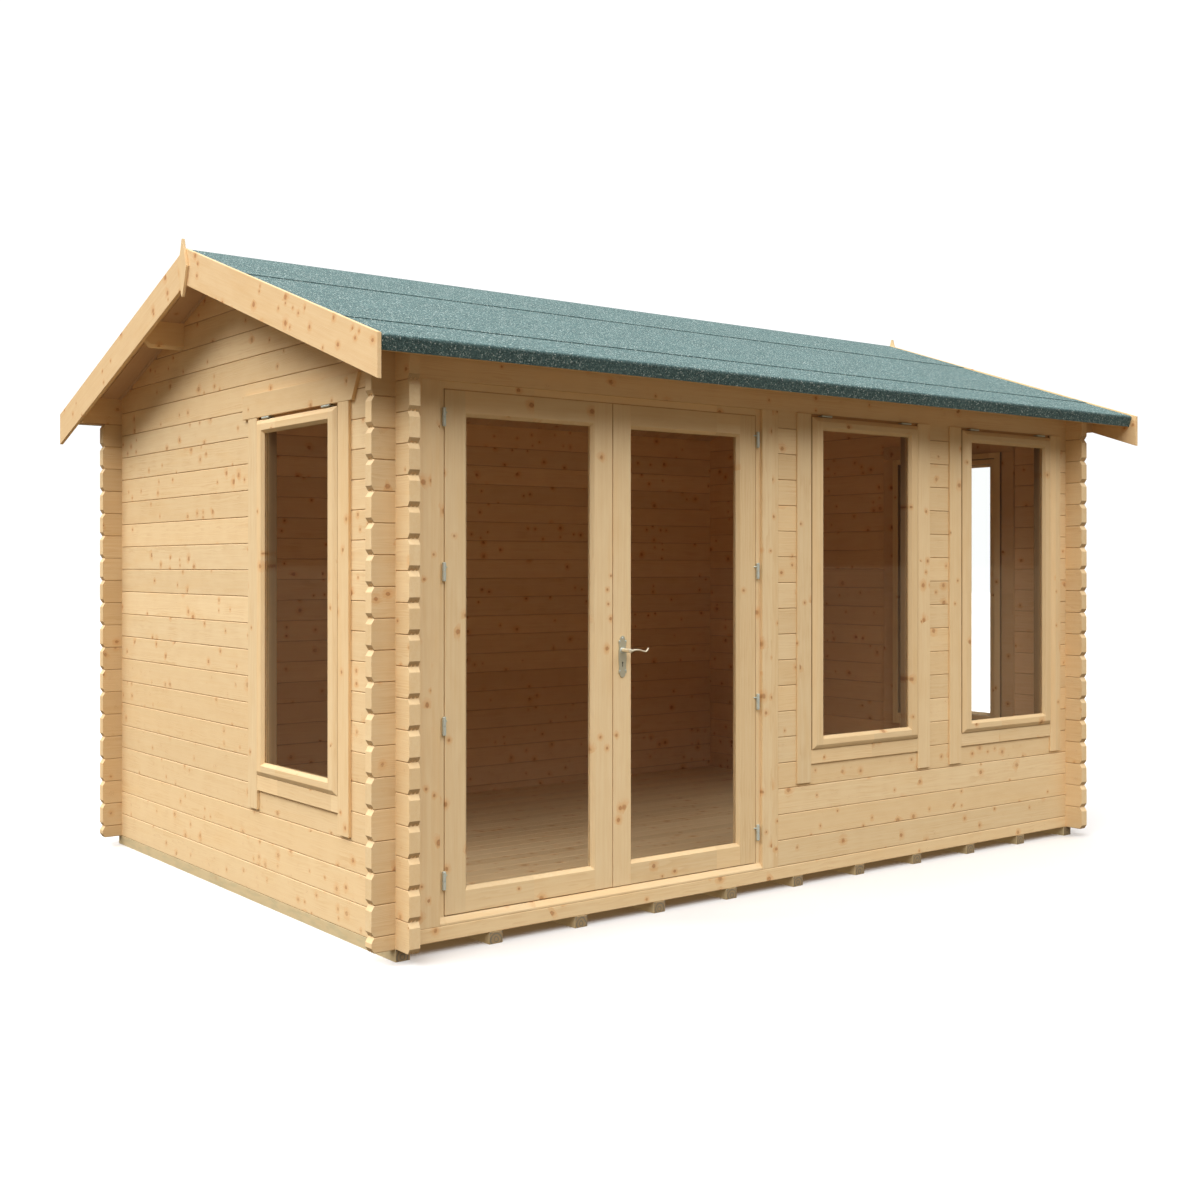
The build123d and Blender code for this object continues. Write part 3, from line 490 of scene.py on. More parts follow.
def joinery(plane, centres, half, stile, low, high, rail, seed):
    """Lays a frame of upright stiles with level rails between them.

    The frame stands in a wall whose plane runs along axis `plane`. Its upright middle lines cross that
    axis at the centres, it reaches `half` to each side, and from low to high. A rail lies between the
    stiles and less than `rail` from the bottom or the top.
    """
    def lay(tree):
        point = object_point(tree).parts()
        here, up = point[plane], point[2]
        beside = abs(here - centres[0])
        for centre in centres[1:]:
            beside = beside.calc("MINIMUM", abs(here - centre))
        over_middle = up - (low + high) / 2
        is_rail = (beside < half - stile) * (abs(over_middle) > (high - low) / 2 - rail)
        is_stile = 1.0 - is_rail
        board = (over_middle.calc("SIGN") * is_rail).line(11.0, (here * 2.1).calc("FLOOR")) + seed
        return here * is_rail + up * is_stile, here * is_stile + up * is_rail, point[1 - plane], board, 0.0
    return lay


print("CAD boards can lie along an axis, down the slope, or as joinery")


# %% [markdown]
# ## How a piece is made
#
# A mesh needs corners and faces. `skin` joins a row of closed outlines, like
# the ribs of a boat, and fills the first and the last. All corners are
# computed at once as numpy arrays, which is faster and easier to check than
# extruding by hand. A closed skin may come out inside out, so `joined` measures
# its signed volume and turns it if that is negative.

# %% Define how outlines become a mesh
def walls(rings):
    """Faces between each closed ring of corner numbers and the next."""
    onward = np.roll(rings, -1, axis=1)
    return np.stack([rings[:-1], onward[:-1], onward[1:], rings[1:]], axis=2).reshape(-1, 4)


def skin(outlines):
    """Corners and faces of a closed skin over outlines (count, points, 3), each joined to the next."""
    corner = np.arange(outlines[..., 0].size).reshape(outlines.shape[:2])
    return outlines.reshape(-1, 3), [*walls(corner).tolist(), corner[0, ::-1].tolist(), corner[-1].tolist()]


def signed_volume(corners, faces):
    """Six times the volume of a closed mesh, positive where its faces look outwards."""
    total = 0.0
    for size in {len(face) for face in faces}:
        same = np.array([face for face in faces if len(face) == size])
        first = corners[same[:, 0]]
        for step in range(1, size - 1):
            crossed = np.cross(corners[same[:, step]], corners[same[:, step + 1]])
            total += float(np.sum(first * crossed))
    return total


def joined(parts):
    """Several meshes, each given as (corners, faces, marks), as one list of corners, faces and marks."""
    corners, faces, marks, start = [], [], {}, 0
    for part_corners, part_faces, part_marks in parts:
        if signed_volume(part_corners, part_faces) < 0:
            part_faces = [face[::-1] for face in part_faces]
        corners.append(part_corners)
        faces += [[corner + start for corner in face] for face in part_faces]
        for name, values in part_marks.items():
            marks.setdefault(name, []).append(values)
        start += len(part_corners)
    return np.concatenate(corners), faces, {name: np.concatenate(values) for name, values in marks.items()}


print("outlines can be skinned")


# %% [markdown]
# A piece of the cabin is one object. It rides with a body, so that it moves
# when a door does, it gets its finish, and the CAD nodes it stands for are
# hidden. All this is done in one place, so none is forgotten.

# %% Define how a piece is set out
record = frame["record"]
body_of = {node: body for body, members in record["behaviour"]["bodies"].items() for node in members}


def set_out(name, mesh, finish, stands_for):
    """Shows a mesh with its finish. It rides with the first node it stands for, and replaces them all."""
    mesh.materials.append(finish)
    piece = bpy.data.objects.new(name, mesh)
    scene.collection.objects.link(piece)
    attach(piece, body_of[stands_for[0]])
    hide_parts(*stands_for)
    print(name, len(mesh.polygons), "faces")
    return piece


def new_piece(name, parts, finish, stands_for, smooth=False):
    """One piece made of closed meshes. A smooth one keeps its edges sharper than 32 degrees."""
    corners, faces, marks = joined(parts)
    mesh = bpy.data.meshes.new(name)
    mesh.from_pydata(corners.tolist(), [], faces)
    for mark, values in marks.items():
        kind, field = ("FLOAT_VECTOR", "vector") if values.ndim == 2 else ("FLOAT", "value")
        layer = mesh.attributes.new(mark, kind, "FACE" if mark == "end_grain" else "POINT")
        layer.data.foreach_set(field, values.astype(np.float32).ravel())
    mesh.polygons.foreach_set("use_smooth", [smooth] * len(faces))
    if smooth:
        mesh.set_sharp_from_angle(angle=math.radians(32))
    set_out(name, mesh, finish, stands_for)


# %% [markdown]
# ## One log
#
# A wall log is 45 mm thick and covers 114 mm. Each face edge is bevelled, so
# two logs meet in a V groove, and two tongues on its back fit two grooves in
# the underside of the log above: they show as small teeth at the log ends.
# Where a log passes a corner it is notched from above and below to a neck half
# its height. Its free end is planed to a flat bevel above and below.
#
# The log is a skin over cross-sections placed along it. Each section has twelve
# stations across the log and five rows up it. Two sections a millimetre apart
# make the wall of a notch. Notches could be cut from a box with Boolean
# modifiers, but those leave slivers where faces meet, and a grid stays clean.

# %% Define the log's section
STATIONS = np.array([-22.5, -19.5, -12.5, -11, -5, -3.5, 3.5, 5, 11, 12.5, 19.5, 22.5]) * MM
BEVEL = np.array([3, 0, 0, 0, 0, 0, 0, 0, 0, 0, 0, 3]) * MM
TONGUES = np.array([0, 0, 0, 8, 8, 0, 0, 8, 8, 0, 0, 0]) * MM
LOG = 114 * MM
JOINT_GAP = 0.6 * MM
END_BACK = 12.5 * MM
END_HIGH = 20 * MM
END_LIMIT = 0.35
CREST = 0.3 * MM
NOTCH = LOG / 4
STEP = 1 * MM
NECK_SLIM = 0.98
APEX = 2756 * MM


def underside(y):
    """Height of the roof boards' underside at a distance y from the ridge line."""
    return APEX - SLOPE * np.abs(y)


def section_rows(cuts, centre, roofed):
    """Heights (cuts, stations, rows): underside, top of the lower bevel, foot of the upper bevel, crest, tongue top.

    A cut is (along, low, high, bevel, groove, tongue, slim). Its underside is low + bevel * BEVEL + groove * TONGUES,
    its top is high - BEVEL + TONGUES in the share of `tongue`, or the roof's slope where `roofed` is set.
    """
    low, high, bevel, groove, tongue = (cuts[:, column, None] for column in range(1, 6))
    bottom = low + bevel * (BEVEL + JOINT_GAP) + groove * TONGUES
    top = high + tongue * (TONGUES - BEVEL)
    if roofed:
        top = np.where(tongue > 0, top, np.minimum(high, underside(centre + STATIONS)))
    corner = np.minimum(END_HIGH, END_LIMIT * (high - low)) * np.ones_like(top)
    crest = np.minimum(top, high) - CREST
    return np.stack([bottom, low + corner, high * np.ones_like(top) - corner, crest, top], axis=2), corner


print("a log section has", STATIONS.size * 5, "points")


# %% [markdown]
# The sections make a grid of points: cuts along the log, stations across it and
# rows up it. Only its outside gets faces: the long sides, and a cap at each
# end, which is marked as end grain.

# %% Skin a log over its sections
def log_part(axis, centre, cuts, free, board, middle, roofed=False):
    """One log along an axis (0 or 1) whose middle plane is at `centre`, with its marks for the timber finish.

    `free` says which of its two ends are planed back. Grain is measured up from `middle`.
    """
    cuts = np.array(cuts, dtype=float)
    rows, corner = section_rows(cuts, centre, roofed)
    if roofed:
        rows[:, :, 2] = rows[:, :, 1] * 0.4 + rows[:, :, 4] * 0.6
    along = cuts[:, 0, None, None] * np.ones_like(rows)
    into = np.maximum(rows[:, :, 1:2] - rows, rows - rows[:, :, 2:3]) / corner[:, :, None]
    set_back = END_BACK * np.clip(into, 0, 1)
    along[0] += set_back[0] * free[0]
    along[-1] -= set_back[-1] * free[1]
    aside = STATIONS[None, :, None] * cuts[:, 6, None, None] * np.ones_like(rows)
    place_of = [along, centre + aside] if axis == 0 else [centre + aside, along]
    grid = np.stack([*place_of, rows], axis=3)
    lay = np.stack([along, rows - middle, aside], axis=3).reshape(-1, 3)

    ids = np.arange(rows.size).reshape(rows.shape)
    sides = walls(np.concatenate([ids[:, :, 0], ids[:, -1, 1:], ids[:, -2::-1, -1], ids[:, 0, -2:0:-1]], axis=1))
    caps = []
    for cap, turn in ((ids[0], -1), (ids[-1], 1)):
        cap = np.stack([cap[:-1, :-1], cap[1:, :-1], cap[1:, 1:], cap[:-1, 1:]], axis=2).reshape(-1, 4)
        caps.append(cap[:, ::turn])
    faces = np.concatenate([sides, *caps])
    used, packed = np.unique(faces, return_inverse=True)
    corners = grid.reshape(-1, 3)[used]
    faces = packed.reshape(faces.shape)
    end_grain = np.concatenate([np.zeros(len(sides)), np.ones(2 * len(caps[0]))])
    marks = {"lay": lay[used], "board": np.full(len(corners), float(board)), "end_grain": end_grain}
    return corners, faces.tolist(), marks


print("a log can be skinned")


# %% [markdown]
# ## Log runs
#
# A run is what is left of a log between two openings. It is a row of zones,
# each with its own section: in a corner crossing the log becomes the neck, over
# an opening its underside is raised, and near the roof its top follows the
# slope. Whole logs could be cut by one large roof shape, but zones keep every
# log a closed mesh of its own with its grain marks.

# %% Define the logs of a long wall
CROSS_INNER = 45 * MM
TAIL = 98 * MM
FACE_X, FACE_Y = 2050 * MM, 1430 * MM
PURLIN_NEAR, PURLIN_FAR = 557.5 * MM, 602.5 * MM
PURLIN_LOW = 2443.5 * MM
CROSSING_TOP = 2239 * MM
KNIFE = 12 * MM
SLIVER = 1 * MM
SHORT_ZONE, SHORT_RUN = 2 * MM, 8 * MM
RUN_NUMBER = 0.37
CORNERS = (-FACE_X, -FACE_X + CROSS_INNER, FACE_X - CROSS_INNER, FACE_X)


def zone_cuts(edges, shapes):
    """Two cuts for each zone between two edges. The first cut of a zone stands one step in, as a notch's wall."""
    cuts = []
    for start, stop, shape in zip(edges, edges[1:], shapes):
        cuts += [[start + (STEP if cuts else 0), *shape], [stop, *shape]]
    return cuts


def long_wall_logs(centre, x0, x1, low, high, openings, board, middle=None, flat_top=False):
    """The runs of one log along X between x0 and x1. An opening is (start, stop, its lowest, its highest)."""
    middle = (low + high) / 2 if middle is None else middle
    tongue = 0.0 if flat_top else 1.0
    neck_low = low + NOTCH if high - low > LOG * 0.6 else low
    through = [o for o in openings if o[2] < low + SLIVER and o[3] > high - SLIVER]
    part_way = [o for o in openings if o not in through and o[3] > low and o[2] < high]

    def shape_at(x):
        if FACE_X - CROSS_INNER < abs(x) < FACE_X:
            return neck_low, high - NOTCH, 0, 0, 0, NECK_SLIM
        for start, stop, _, top in part_way:
            if start < x < stop:
                return top, high, 0, 0, tongue, 1
        return low, high, 1, 1, tongue, 1

    ends = [x0, *(edge for opening in sorted(through) for edge in opening[:2]), x1]
    parts = []
    for number, (start, stop) in enumerate(zip(ends[::2], ends[1::2])):
        if stop - start < SHORT_RUN:
            continue
        marks = [*CORNERS, *(edge for o in part_way for edge in o[:2])]
        edges = [start, *sorted(edge for edge in marks if start < edge < stop), stop]
        cuts = zone_cuts(edges, [shape_at((near + far) / 2) for near, far in zip(edges, edges[1:])])
        free = (start < -FACE_X, stop > FACE_X)
        parts.append(log_part(0, centre, cuts, free, board + RUN_NUMBER * number, middle))
    return parts


print("long walls can be cut round openings and crossings")


# %% [markdown]
# The logs of a gable get shorter towards the ridge. Their zones end at the
# corners, at the window, at the purlins, and where the slope begins to cut
# them. Each is made at its true length, so no log has to be trimmed.

# %% Define the logs of a gable
def gable_logs(centre, low, opening, board):
    """The runs of one log along Y in a gable wall, up to the roof's slope."""
    high = min(low + LOG, APEX - SLIVER)
    tail = FACE_Y + TAIL
    reach = min(tail, (APEX - low - KNIFE) / SLOPE)
    full = min(tail, (APEX - high) / SLOPE)
    crossed, holed = low < CROSSING_TOP, high > PURLIN_LOW + 10 * MM
    edges = {reach, full}
    edges |= {FACE_Y, FACE_Y - CROSS_INNER} if crossed else set()
    edges |= {PURLIN_NEAR, PURLIN_FAR} if holed else set()
    edges |= {-edge for edge in edges}
    if opening[2] < high and opening[3] > low:
        edges |= set(opening[:2])
    edges = sorted(edge for edge in edges if abs(edge) <= reach)

    runs = [[]]
    for start, stop in zip(edges, edges[1:]):
        y = (start + stop) / 2
        in_opening = opening[0] < y < opening[1]
        if stop - start < SHORT_ZONE:
            continue
        if (holed and PURLIN_NEAR < abs(y) < PURLIN_FAR) or (
                in_opening and opening[2] < low + SLIVER and opening[3] > high - SLIVER):
            runs.append([])
            continue
        for edge in (start + (STEP if runs[-1] else 0), stop):
            roof = float(underside(edge))
            if crossed and FACE_Y - CROSS_INNER < abs(y) < FACE_Y:
                shape = low + NOTCH, min(high - NOTCH, roof), 0, 0, 0, NECK_SLIM
            elif in_opening and opening[3] > low:
                shape = opening[3], min(high, roof), 0, 0, 1, 1
            elif abs(y) > full:
                shallow = min(1.0, max(0.0, (roof - low - KNIFE) / (2 * KNIFE)))
                shape = low, min(high, roof), 1, shallow, 0, 1
            else:
                shape = low, high, 1, 1, 1, 1
            runs[-1].append([edge, *shape])

    parts = []
    for number, cuts in enumerate([run for run in runs if run]):
        first, last = cuts[0][0], cuts[-1][0]
        if last - first >= SHORT_RUN:
            free = (first < -FACE_Y - 50 * MM, last > FACE_Y + 50 * MM)
            parts.append(log_part(1, centre, cuts, free, board + RUN_NUMBER * number, low + LOG / 2))
    return parts


print("gables can be cut round purlins and to the slope")


# %% [markdown]
# ## The log finish
#
# The wall logs carry their marks, and the finish adds four things to plain
# spruce. In each V groove the edge under the joint is a brown line of dust and
# painted shade, while the edge that faces up stays clean. The sawn bevels under
# the log ends get a painted shade, because they face down. The faces towards the
# room get a painted shade, a little darker and redder, for the dim room, and the
# long faces past the gables are a little duller. All of this could be painted
# on, but the marks already say where it belongs.

# %% Make the log finish
ROOM_X, ROOM_Y = 2020 * MM, 1400 * MM


def room_shade_and_dull_ends(colour):
    """Paints shade on the surfaces that look into the room, a little darker and redder, and dulls the long faces of the
    ends past the gables.
    """
    x, y, _ = object_point(colour.tree).parts()
    in_room = (abs(x) < ROOM_X) * (abs(y) < ROOM_Y)
    # Painted shade: the faces in the room are made a little darker and redder, for the dim room.
    room_shaded = mixed(in_room, colour, paint(255, 245, 247), "MULTIPLY")
    long_end = (abs(x) > FACE_X + 1 * MM) * (abs(looks(colour.tree).parts()[0]) < 0.3)
    return mixed(long_end, room_shaded, paint(237, 235, 234), "MULTIPLY")


def groove_dust_and_painted_shade(colour):
    """Paints dust and shade into the groove under each log, and paints shade on the sawn bevels of its ends that face
    down.
    """
    _, up, deep = marks_on(colour.tree, "lay", "Vector").parts()
    end = marks_on(colour.tree, "end_grain")
    # Painted shade and dust: the underside bevel of each log and the root of its groove are darkened.
    under = fade(up * -1.0, LOG / 2 - 3.8 * MM, LOG / 2 - 0.4 * MM)
    over = fade(up, LOG / 2 - 1.4 * MM, LOG / 2 - 0.2 * MM) * ((abs(deep) < 22.2 * MM) * 0.7)
    line = under.calc("MAXIMUM", over) * (1.0 - end)
    # Painted shade: the sawn bevels under the log ends that face down are darkened.
    sawn_bevel_shade = fade(looks(colour.tree).parts()[2] * -1.0, 0.2, 0.6) * end
    return coats(room_shade_and_dull_ends(colour), (line * 0.60, (146, 88, 42)), (sawn_bevel_shade * 0.45, (146, 104, 60)))


log_finish = timber("spruce_logs", marked, 1.0, 1.0, groove_dust_and_painted_shade)
floor_finish = timber("spruce_floor_boards", marked, 0.9, 1.5, tinted(240, 237, 238))
roof_finish = timber("spruce_roof_boards", marked, 0.8, 0.7, tinted(230, 223, 232))
print("log finishes ready")


# %% [markdown]
# ## Front wall
#
# The front stands on a half-height sill log. Seventeen logs rise beside the
# doors, cut out for two windows, and one tall log closes the wall over them.
# Joints in the front and back are half a log lower than in the gables, so that
# the notched ends interlock. The wall could be one slab with grooves, but the
# log ends and the reveals would give it away, so every log is laid.

# %% Lay the front logs
LOG_LOW = 45 * MM
SILL_TOP = 102 * MM
FRONT_TOP = 2040 * MM
FRONT_LOGS = 17
DOOR = (-1958.5 * MM, -124.5 * MM, SILL_TOP, 2117 * MM)
FRONT_LOW, WINDOW_HALF, WINDOW_HIGH = 558 * MM, 385 * MM, 1559 * MM
W_CENTRES = (439.5 * MM, 1494 * MM)
front_openings = [DOOR]
for middle_x in W_CENTRES:
    front_openings.append((middle_x - WINDOW_HALF, middle_x + WINDOW_HALF, FRONT_LOW, FRONT_LOW + WINDOW_HIGH))
tail_x = FACE_X + TAIL
front_y = -FACE_Y + CROSS_INNER / 2
back_y = -front_y

new_piece("sill_log", long_wall_logs(front_y, -tail_x, tail_x, LOG_LOW, SILL_TOP, [], 3.0, middle=LOG_LOW),
          log_finish, ["front_sill_log"])
left_parts, right_parts = [], []
for number in range(FRONT_LOGS):
    low = SILL_TOP + number * LOG
    left_parts += long_wall_logs(front_y, -tail_x, DOOR[0], low, low + LOG, [], 10.0 + number)
    right_parts += long_wall_logs(front_y, DOOR[1], tail_x, low, low + LOG, front_openings[1:], 40.0 + 3 * number)
new_piece("front_logs_left", left_parts, log_finish, ["front_wall_left"])
new_piece("front_logs_right", right_parts, log_finish, ["front_wall_right"])


# %% [markdown]
# The top log of the front and of the back is taller: its upper part runs out
# under the roof to the bargeboards, and its top is cut to the slope. It is made
# as two parts, because only the upper one is longer than the wall.

# %% Lay the top log of the front and of the back
ROOF_END = 2252 * MM
TOP_JOINT = 2154 * MM


def eaves_log(centre, board, middle):
    """The part of a top log over joint height: it runs out to the barge boards and its top follows the roof."""
    neck = (TOP_JOINT + NOTCH, TOP_JOINT + 3 * NOTCH, 0, 0, 0, NECK_SLIM)
    whole = (TOP_JOINT, APEX, 0, 0, 0, 1)
    cuts = zone_cuts((-ROOF_END, *CORNERS, ROOF_END), (whole, neck, whole, neck, whole))
    return log_part(0, centre, cuts, (False, False), board, middle, roofed=True)


top_middle = FRONT_TOP + LOG / 2
top_parts = long_wall_logs(front_y, -tail_x, tail_x, FRONT_TOP, TOP_JOINT, front_openings, 95.0, top_middle, True)
new_piece("front_top_log_laid", [*top_parts, eaves_log(front_y, 95.0, top_middle)], log_finish, ["front_top_log"])
new_piece("back_top_log_laid", [eaves_log(back_y, 97.0, TOP_JOINT + LOG / 2)], log_finish, ["back_top_log"])


# %% [markdown]
# ## Back wall and gables
#
# The back is plain logs from corner to corner. Each gable starts with a full
# log, has one window near the front corner, and is cut to the slope of the
# roof. Its upper logs stop at the two purlins, which pass through the wall. One
# loop lays both gables, as they mirror each other.

# %% Lay the back and the gables
back_parts = long_wall_logs(back_y, -tail_x, tail_x, LOG_LOW, SILL_TOP, [], 5.0, middle=LOG_LOW)
for number in range(FRONT_LOGS + 1):
    low = SILL_TOP + number * LOG
    back_parts += long_wall_logs(back_y, -tail_x, tail_x, low, low + LOG, [], 120.0 + number)
new_piece("back_logs", back_parts, log_finish, ["back_wall"])

GABLE_Y, GABLE_LOW = -642 * MM, 501 * MM
GABLE_WINDOW = (GABLE_Y - WINDOW_HALF, GABLE_Y + WINDOW_HALF, GABLE_LOW, GABLE_LOW + WINDOW_HIGH)
for side, name in ((-1, "left_gable"), (1, "right_gable")):
    gable_parts = []
    for number, low in enumerate(np.arange(LOG_LOW, APEX - 2 * KNIFE, LOG)):
        gable_parts += gable_logs(side * (FACE_X - CROSS_INNER / 2), low, GABLE_WINDOW, 150.0 + 30 * side + number)
    new_piece(name + "_logs", gable_parts, log_finish, [name + "_wall"])


# %% [markdown]
# ## Floor boards
#
# The floor is tongued and grooved boards, 95 mm wide and 19 mm thick, laid
# along the cabin. Their upper edges are eased, so each joint shows as a fine V.
# A board is a skin over two equal outlines. A bump pattern could fake the
# joints, but they catch the light through the door, so they are real.

# %% Lay the floor
def plank(outline, axis, start, stop, board=0.0):
    """A board: an outline of (a, b), in the two other axes, carried along an axis from start to stop."""
    others = [other for other in range(3) if other != axis]
    ends = np.zeros((2, len(outline), 3))
    ends[:, :, others] = outline
    ends[:, :, axis] = [[start], [stop]]
    corners, faces = skin(ends)
    end_grain = np.concatenate([np.zeros(len(faces) - 2), np.ones(2)])
    return corners, faces, {"lay": corners[:, [axis, *others]], "board": np.full(len(corners), float(board)),
                            "end_grain": end_grain}


def eased_board(a0, a1, b0, b1, ease):
    """The outline of a board between a0 and a1, b0 and b1, with its two upper arrises eased."""
    return [(a0, b0), (a1, b0), (a1, b1 - ease), (a1 - ease, b1), (a0 + ease, b1), (a0, b1 - ease)]


low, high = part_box("floor")
FLOOR_BOARDS = 29
edges = np.linspace(low[1], high[1], FLOOR_BOARDS + 1)
boards = []
for number in range(FLOOR_BOARDS):
    outline = eased_board(edges[number], edges[number + 1] - 0.4 * MM, low[2], high[2], 1.8 * MM)
    boards.append(plank(outline, 0, low[0], high[0], 300.0 + number))
new_piece("floor_boards", boards, floor_finish, ["floor"])


# %% [markdown]
# ## Roof boards
#
# The boarding runs from ridge to eave, 94 mm a board. It is seen from below at
# the eaves and through the windows, where its V joints show as fine lines
# along the slope. Each board is a skin over four outlines: the outer two have
# their lower arrises raised. An Array modifier could repeat one board, but then
# all of them would share one number and one figure.

# %% Board the roof
PLUMB = math.hypot(1, SLOPE)
BOARD = 28 * MM
FELT = 3.5 * MM
EAVE_Y, NOSE = 1664 * MM, 12 * MM
ROOF_BOARDS = 48
RAISE = 2.4 * MM

nose_centre = np.array([EAVE_Y - NOSE, underside(EAVE_Y - NOSE) + (BOARD + FELT - NOSE) * PLUMB])
angle = math.pi / 2 * (1 - np.arange(5) / 4) - LEAN
nose = nose_centre + (NOSE - FELT) * np.stack([np.cos(angle), np.sin(angle)], axis=1)
drop = (nose[-1, 1] - underside(nose[-1, 0])) / PLUMB ** 2
lower_end = nose[-1] - np.array([SLOPE, 1.0]) * drop
section = np.array([(0.0, APEX), lower_end, *nose[::-1], (0.0, APEX + BOARD * PLUMB)])
pitch = 2 * ROOF_END / ROOF_BOARDS
stations = np.array([(0, RAISE), (2.4 * MM, 0), (pitch - 3 * MM, 0), (pitch - 0.6 * MM, RAISE)])
for side, name in ((-1, "front"), (1, "back")):
    boards = []
    for number in range(ROOF_BOARDS):
        outlines = np.zeros((len(stations), len(section), 3))
        outlines[:, :, 0] = -ROOF_END + number * pitch + stations[:, :1]
        outlines[:, :, 1:] = section * (side, 1)
        outlines[:, :2, 2] += stations[:, 1:]
        corners, faces = skin(outlines)
        out = np.abs(corners[:, 1])
        lay = np.stack([out * math.cos(LEAN) - corners[:, 2] * math.sin(LEAN), corners[:, 0],
                        corners[:, 2] + SLOPE * out], axis=1)
        boards.append((corners, faces, {"lay": lay, "board": np.full(len(corners), 400.0 + 60 * side + number),
                                        "end_grain": np.zeros(len(faces))}))
    new_piece("roof_boarding_" + name, boards, roof_finish, ["roof_boards_" + name])


# %% [markdown]
# ## Planed boards with eased edges
#
# Posts, frames, sashes, trims and bargeboards keep the shape that the CAD gave
# them, but no planed board has a knife edge: a joiner takes every arris off
# with a stroke of the plane. A copy of each node's mesh has its doubles merged
# and its flat faces joined, and a narrow Bevel modifier rounds the arrises. They
# could be built anew, but the copies fit their openings exactly.

# %% Define how boards are eased
def eased(node, finish, width=1.6 * MM, segments=2):
    """A copy of a CAD node with its arrises rounded to that width. It stands for the node."""
    mesh = nodes[node].data.copy()
    mesh.name = node + "_eased"
    work = bmesh.new()
    work.from_mesh(mesh)
    bmesh.ops.remove_doubles(work, verts=work.verts, dist=0.00002)
    bmesh.ops.dissolve_limit(work, angle_limit=math.radians(0.5), verts=work.verts, edges=work.edges)
    bmesh.ops.recalc_face_normals(work, faces=work.faces)
    work.to_mesh(mesh)
    work.free()
    mesh.materials.clear()
    mesh.polygons.foreach_set("material_index", [0] * len(mesh.polygons))
    piece = set_out(mesh.name, mesh, finish, [node])
    rounding = piece.modifiers.new("eased_arris", "BEVEL")
    rounding.width, rounding.segments = width, segments
    rounding.limit_method, rounding.angle_limit = "ANGLE", math.radians(22)
    return piece


def pane_boards(half, stile, low, high, rail, seed):
    """Lays the boards round the windows of the front and of the gables: joinery in whichever wall they are on."""
    in_front = joinery(0, W_CENTRES, half, stile, low, high, rail, seed)
    in_gable = joinery(1, (GABLE_Y,), half, stile, low - LOG / 2, high - LOG / 2, rail, seed + 9.0)

    def lay(tree):
        gable = abs(object_point(tree).parts()[0]) > GABLE_BOARDS_X
        return [result("Mix", gable, *pair, data_type="FLOAT") for pair in zip(in_front(tree), in_gable(tree))]
    return lay


def painted_shade_behind_pane(axis, face):
    """Painted shade on the reveals, deeper from the back of the pane towards the room. face is the wall's."""
    def stain_or_shade(colour):
        depth = face + PANE_BACK - abs(object_point(colour.tree).parts()[axis])
        reveal = abs(looks(colour.tree).parts()[axis]) < 0.6
        # Painted shade: the reveals behind the pane are darker and redder, deepest towards the room.
        amount = fade(depth, 0.0, 0.05).line(0.60, 0.40) * (reveal * (depth > 0.0))
        return mixed(amount, colour, paint(160, 146, 138), "MULTIPLY")
    return stain_or_shade


print("boards can be eased and laid round the panes")


# %% [markdown]
# The boards of one kind share a finish. Door leaves and sashes have few knots,
# because a joiner picks the clean wood for what has to stay straight, while the
# trims and the bargeboards take what is left. A table of finishes and nodes is
# shorter than a call for each, and shows at a glance which wood is where.

# %% Ease the boards
DOOR_X = -1041.5 * MM
LEAF_CENTRES = (DOOR_X - 397 * MM, DOOR_X + 397 * MM)
GABLE_BOARDS_X = 1985 * MM
PANE_BACK = 14 * MM
SASH_FOOT, SASH_TOP = 47 * MM, 1544 * MM
upright_front = timber("spruce_upright_front", single_board(2, 0, 1, 310.0), 0.8, 1.1)
upright_gable = timber("spruce_finials", single_board(2, 1, 0, 320.0), 0.8, 0.3)
level_x = timber("spruce_level_front", single_board(0, 2, 1, 330.0), 0.8, 0.8)
batten_x = timber("spruce_battens", single_board(0, 1, 2, 340.0), 0.8, 0.8)
level_y = timber("spruce_level_gable", single_board(1, 2, 0, 350.0), 0.8, 0.8)
sloping = timber("spruce_barge_boards", down_the_slope(370.0), 0.8, 1.75, tinted(252, 246, 240))
leaf_wood = timber("spruce_door_leaves", joinery(0, LEAF_CENTRES, 0.395, 0.090, 0.134, 2.0855, 0.082, 390.0), 0.7, 0.7)
door_frame_wood = timber("spruce_door_frame", joinery(0, (DOOR_X,), 0.821, 0.029, 0.102, 2.117, 0.030, 410.0), 0.7, 0.5)
outer_boards = timber("spruce_window_boards", pane_boards(0.453, 0.088, 0.458, 2.117, 0.9, 530.0), 0.8, 0.7)
inner_boards = timber("spruce_window_boards_inside", pane_boards(0.850, 0.3848, 0.478, 2.197, 0.9, 550.0), 0.8, 0.7,
                      tinted(236, 226, 226))
for finish, *names in ((upright_front, "door_posts", "door_inner_trims"), (door_frame_wood, "door_frame"),
                       (leaf_wood, "door_leaf_left", "door_leaf_right"), (upright_gable, "finials"),
                       (batten_x, "eave_battens"), (level_y, "gable_header_boards"),
                       (outer_boards, "window_outer_boards"), (inner_boards, "window_inner_boards")):
    for name in names:
        eased(name, finish)
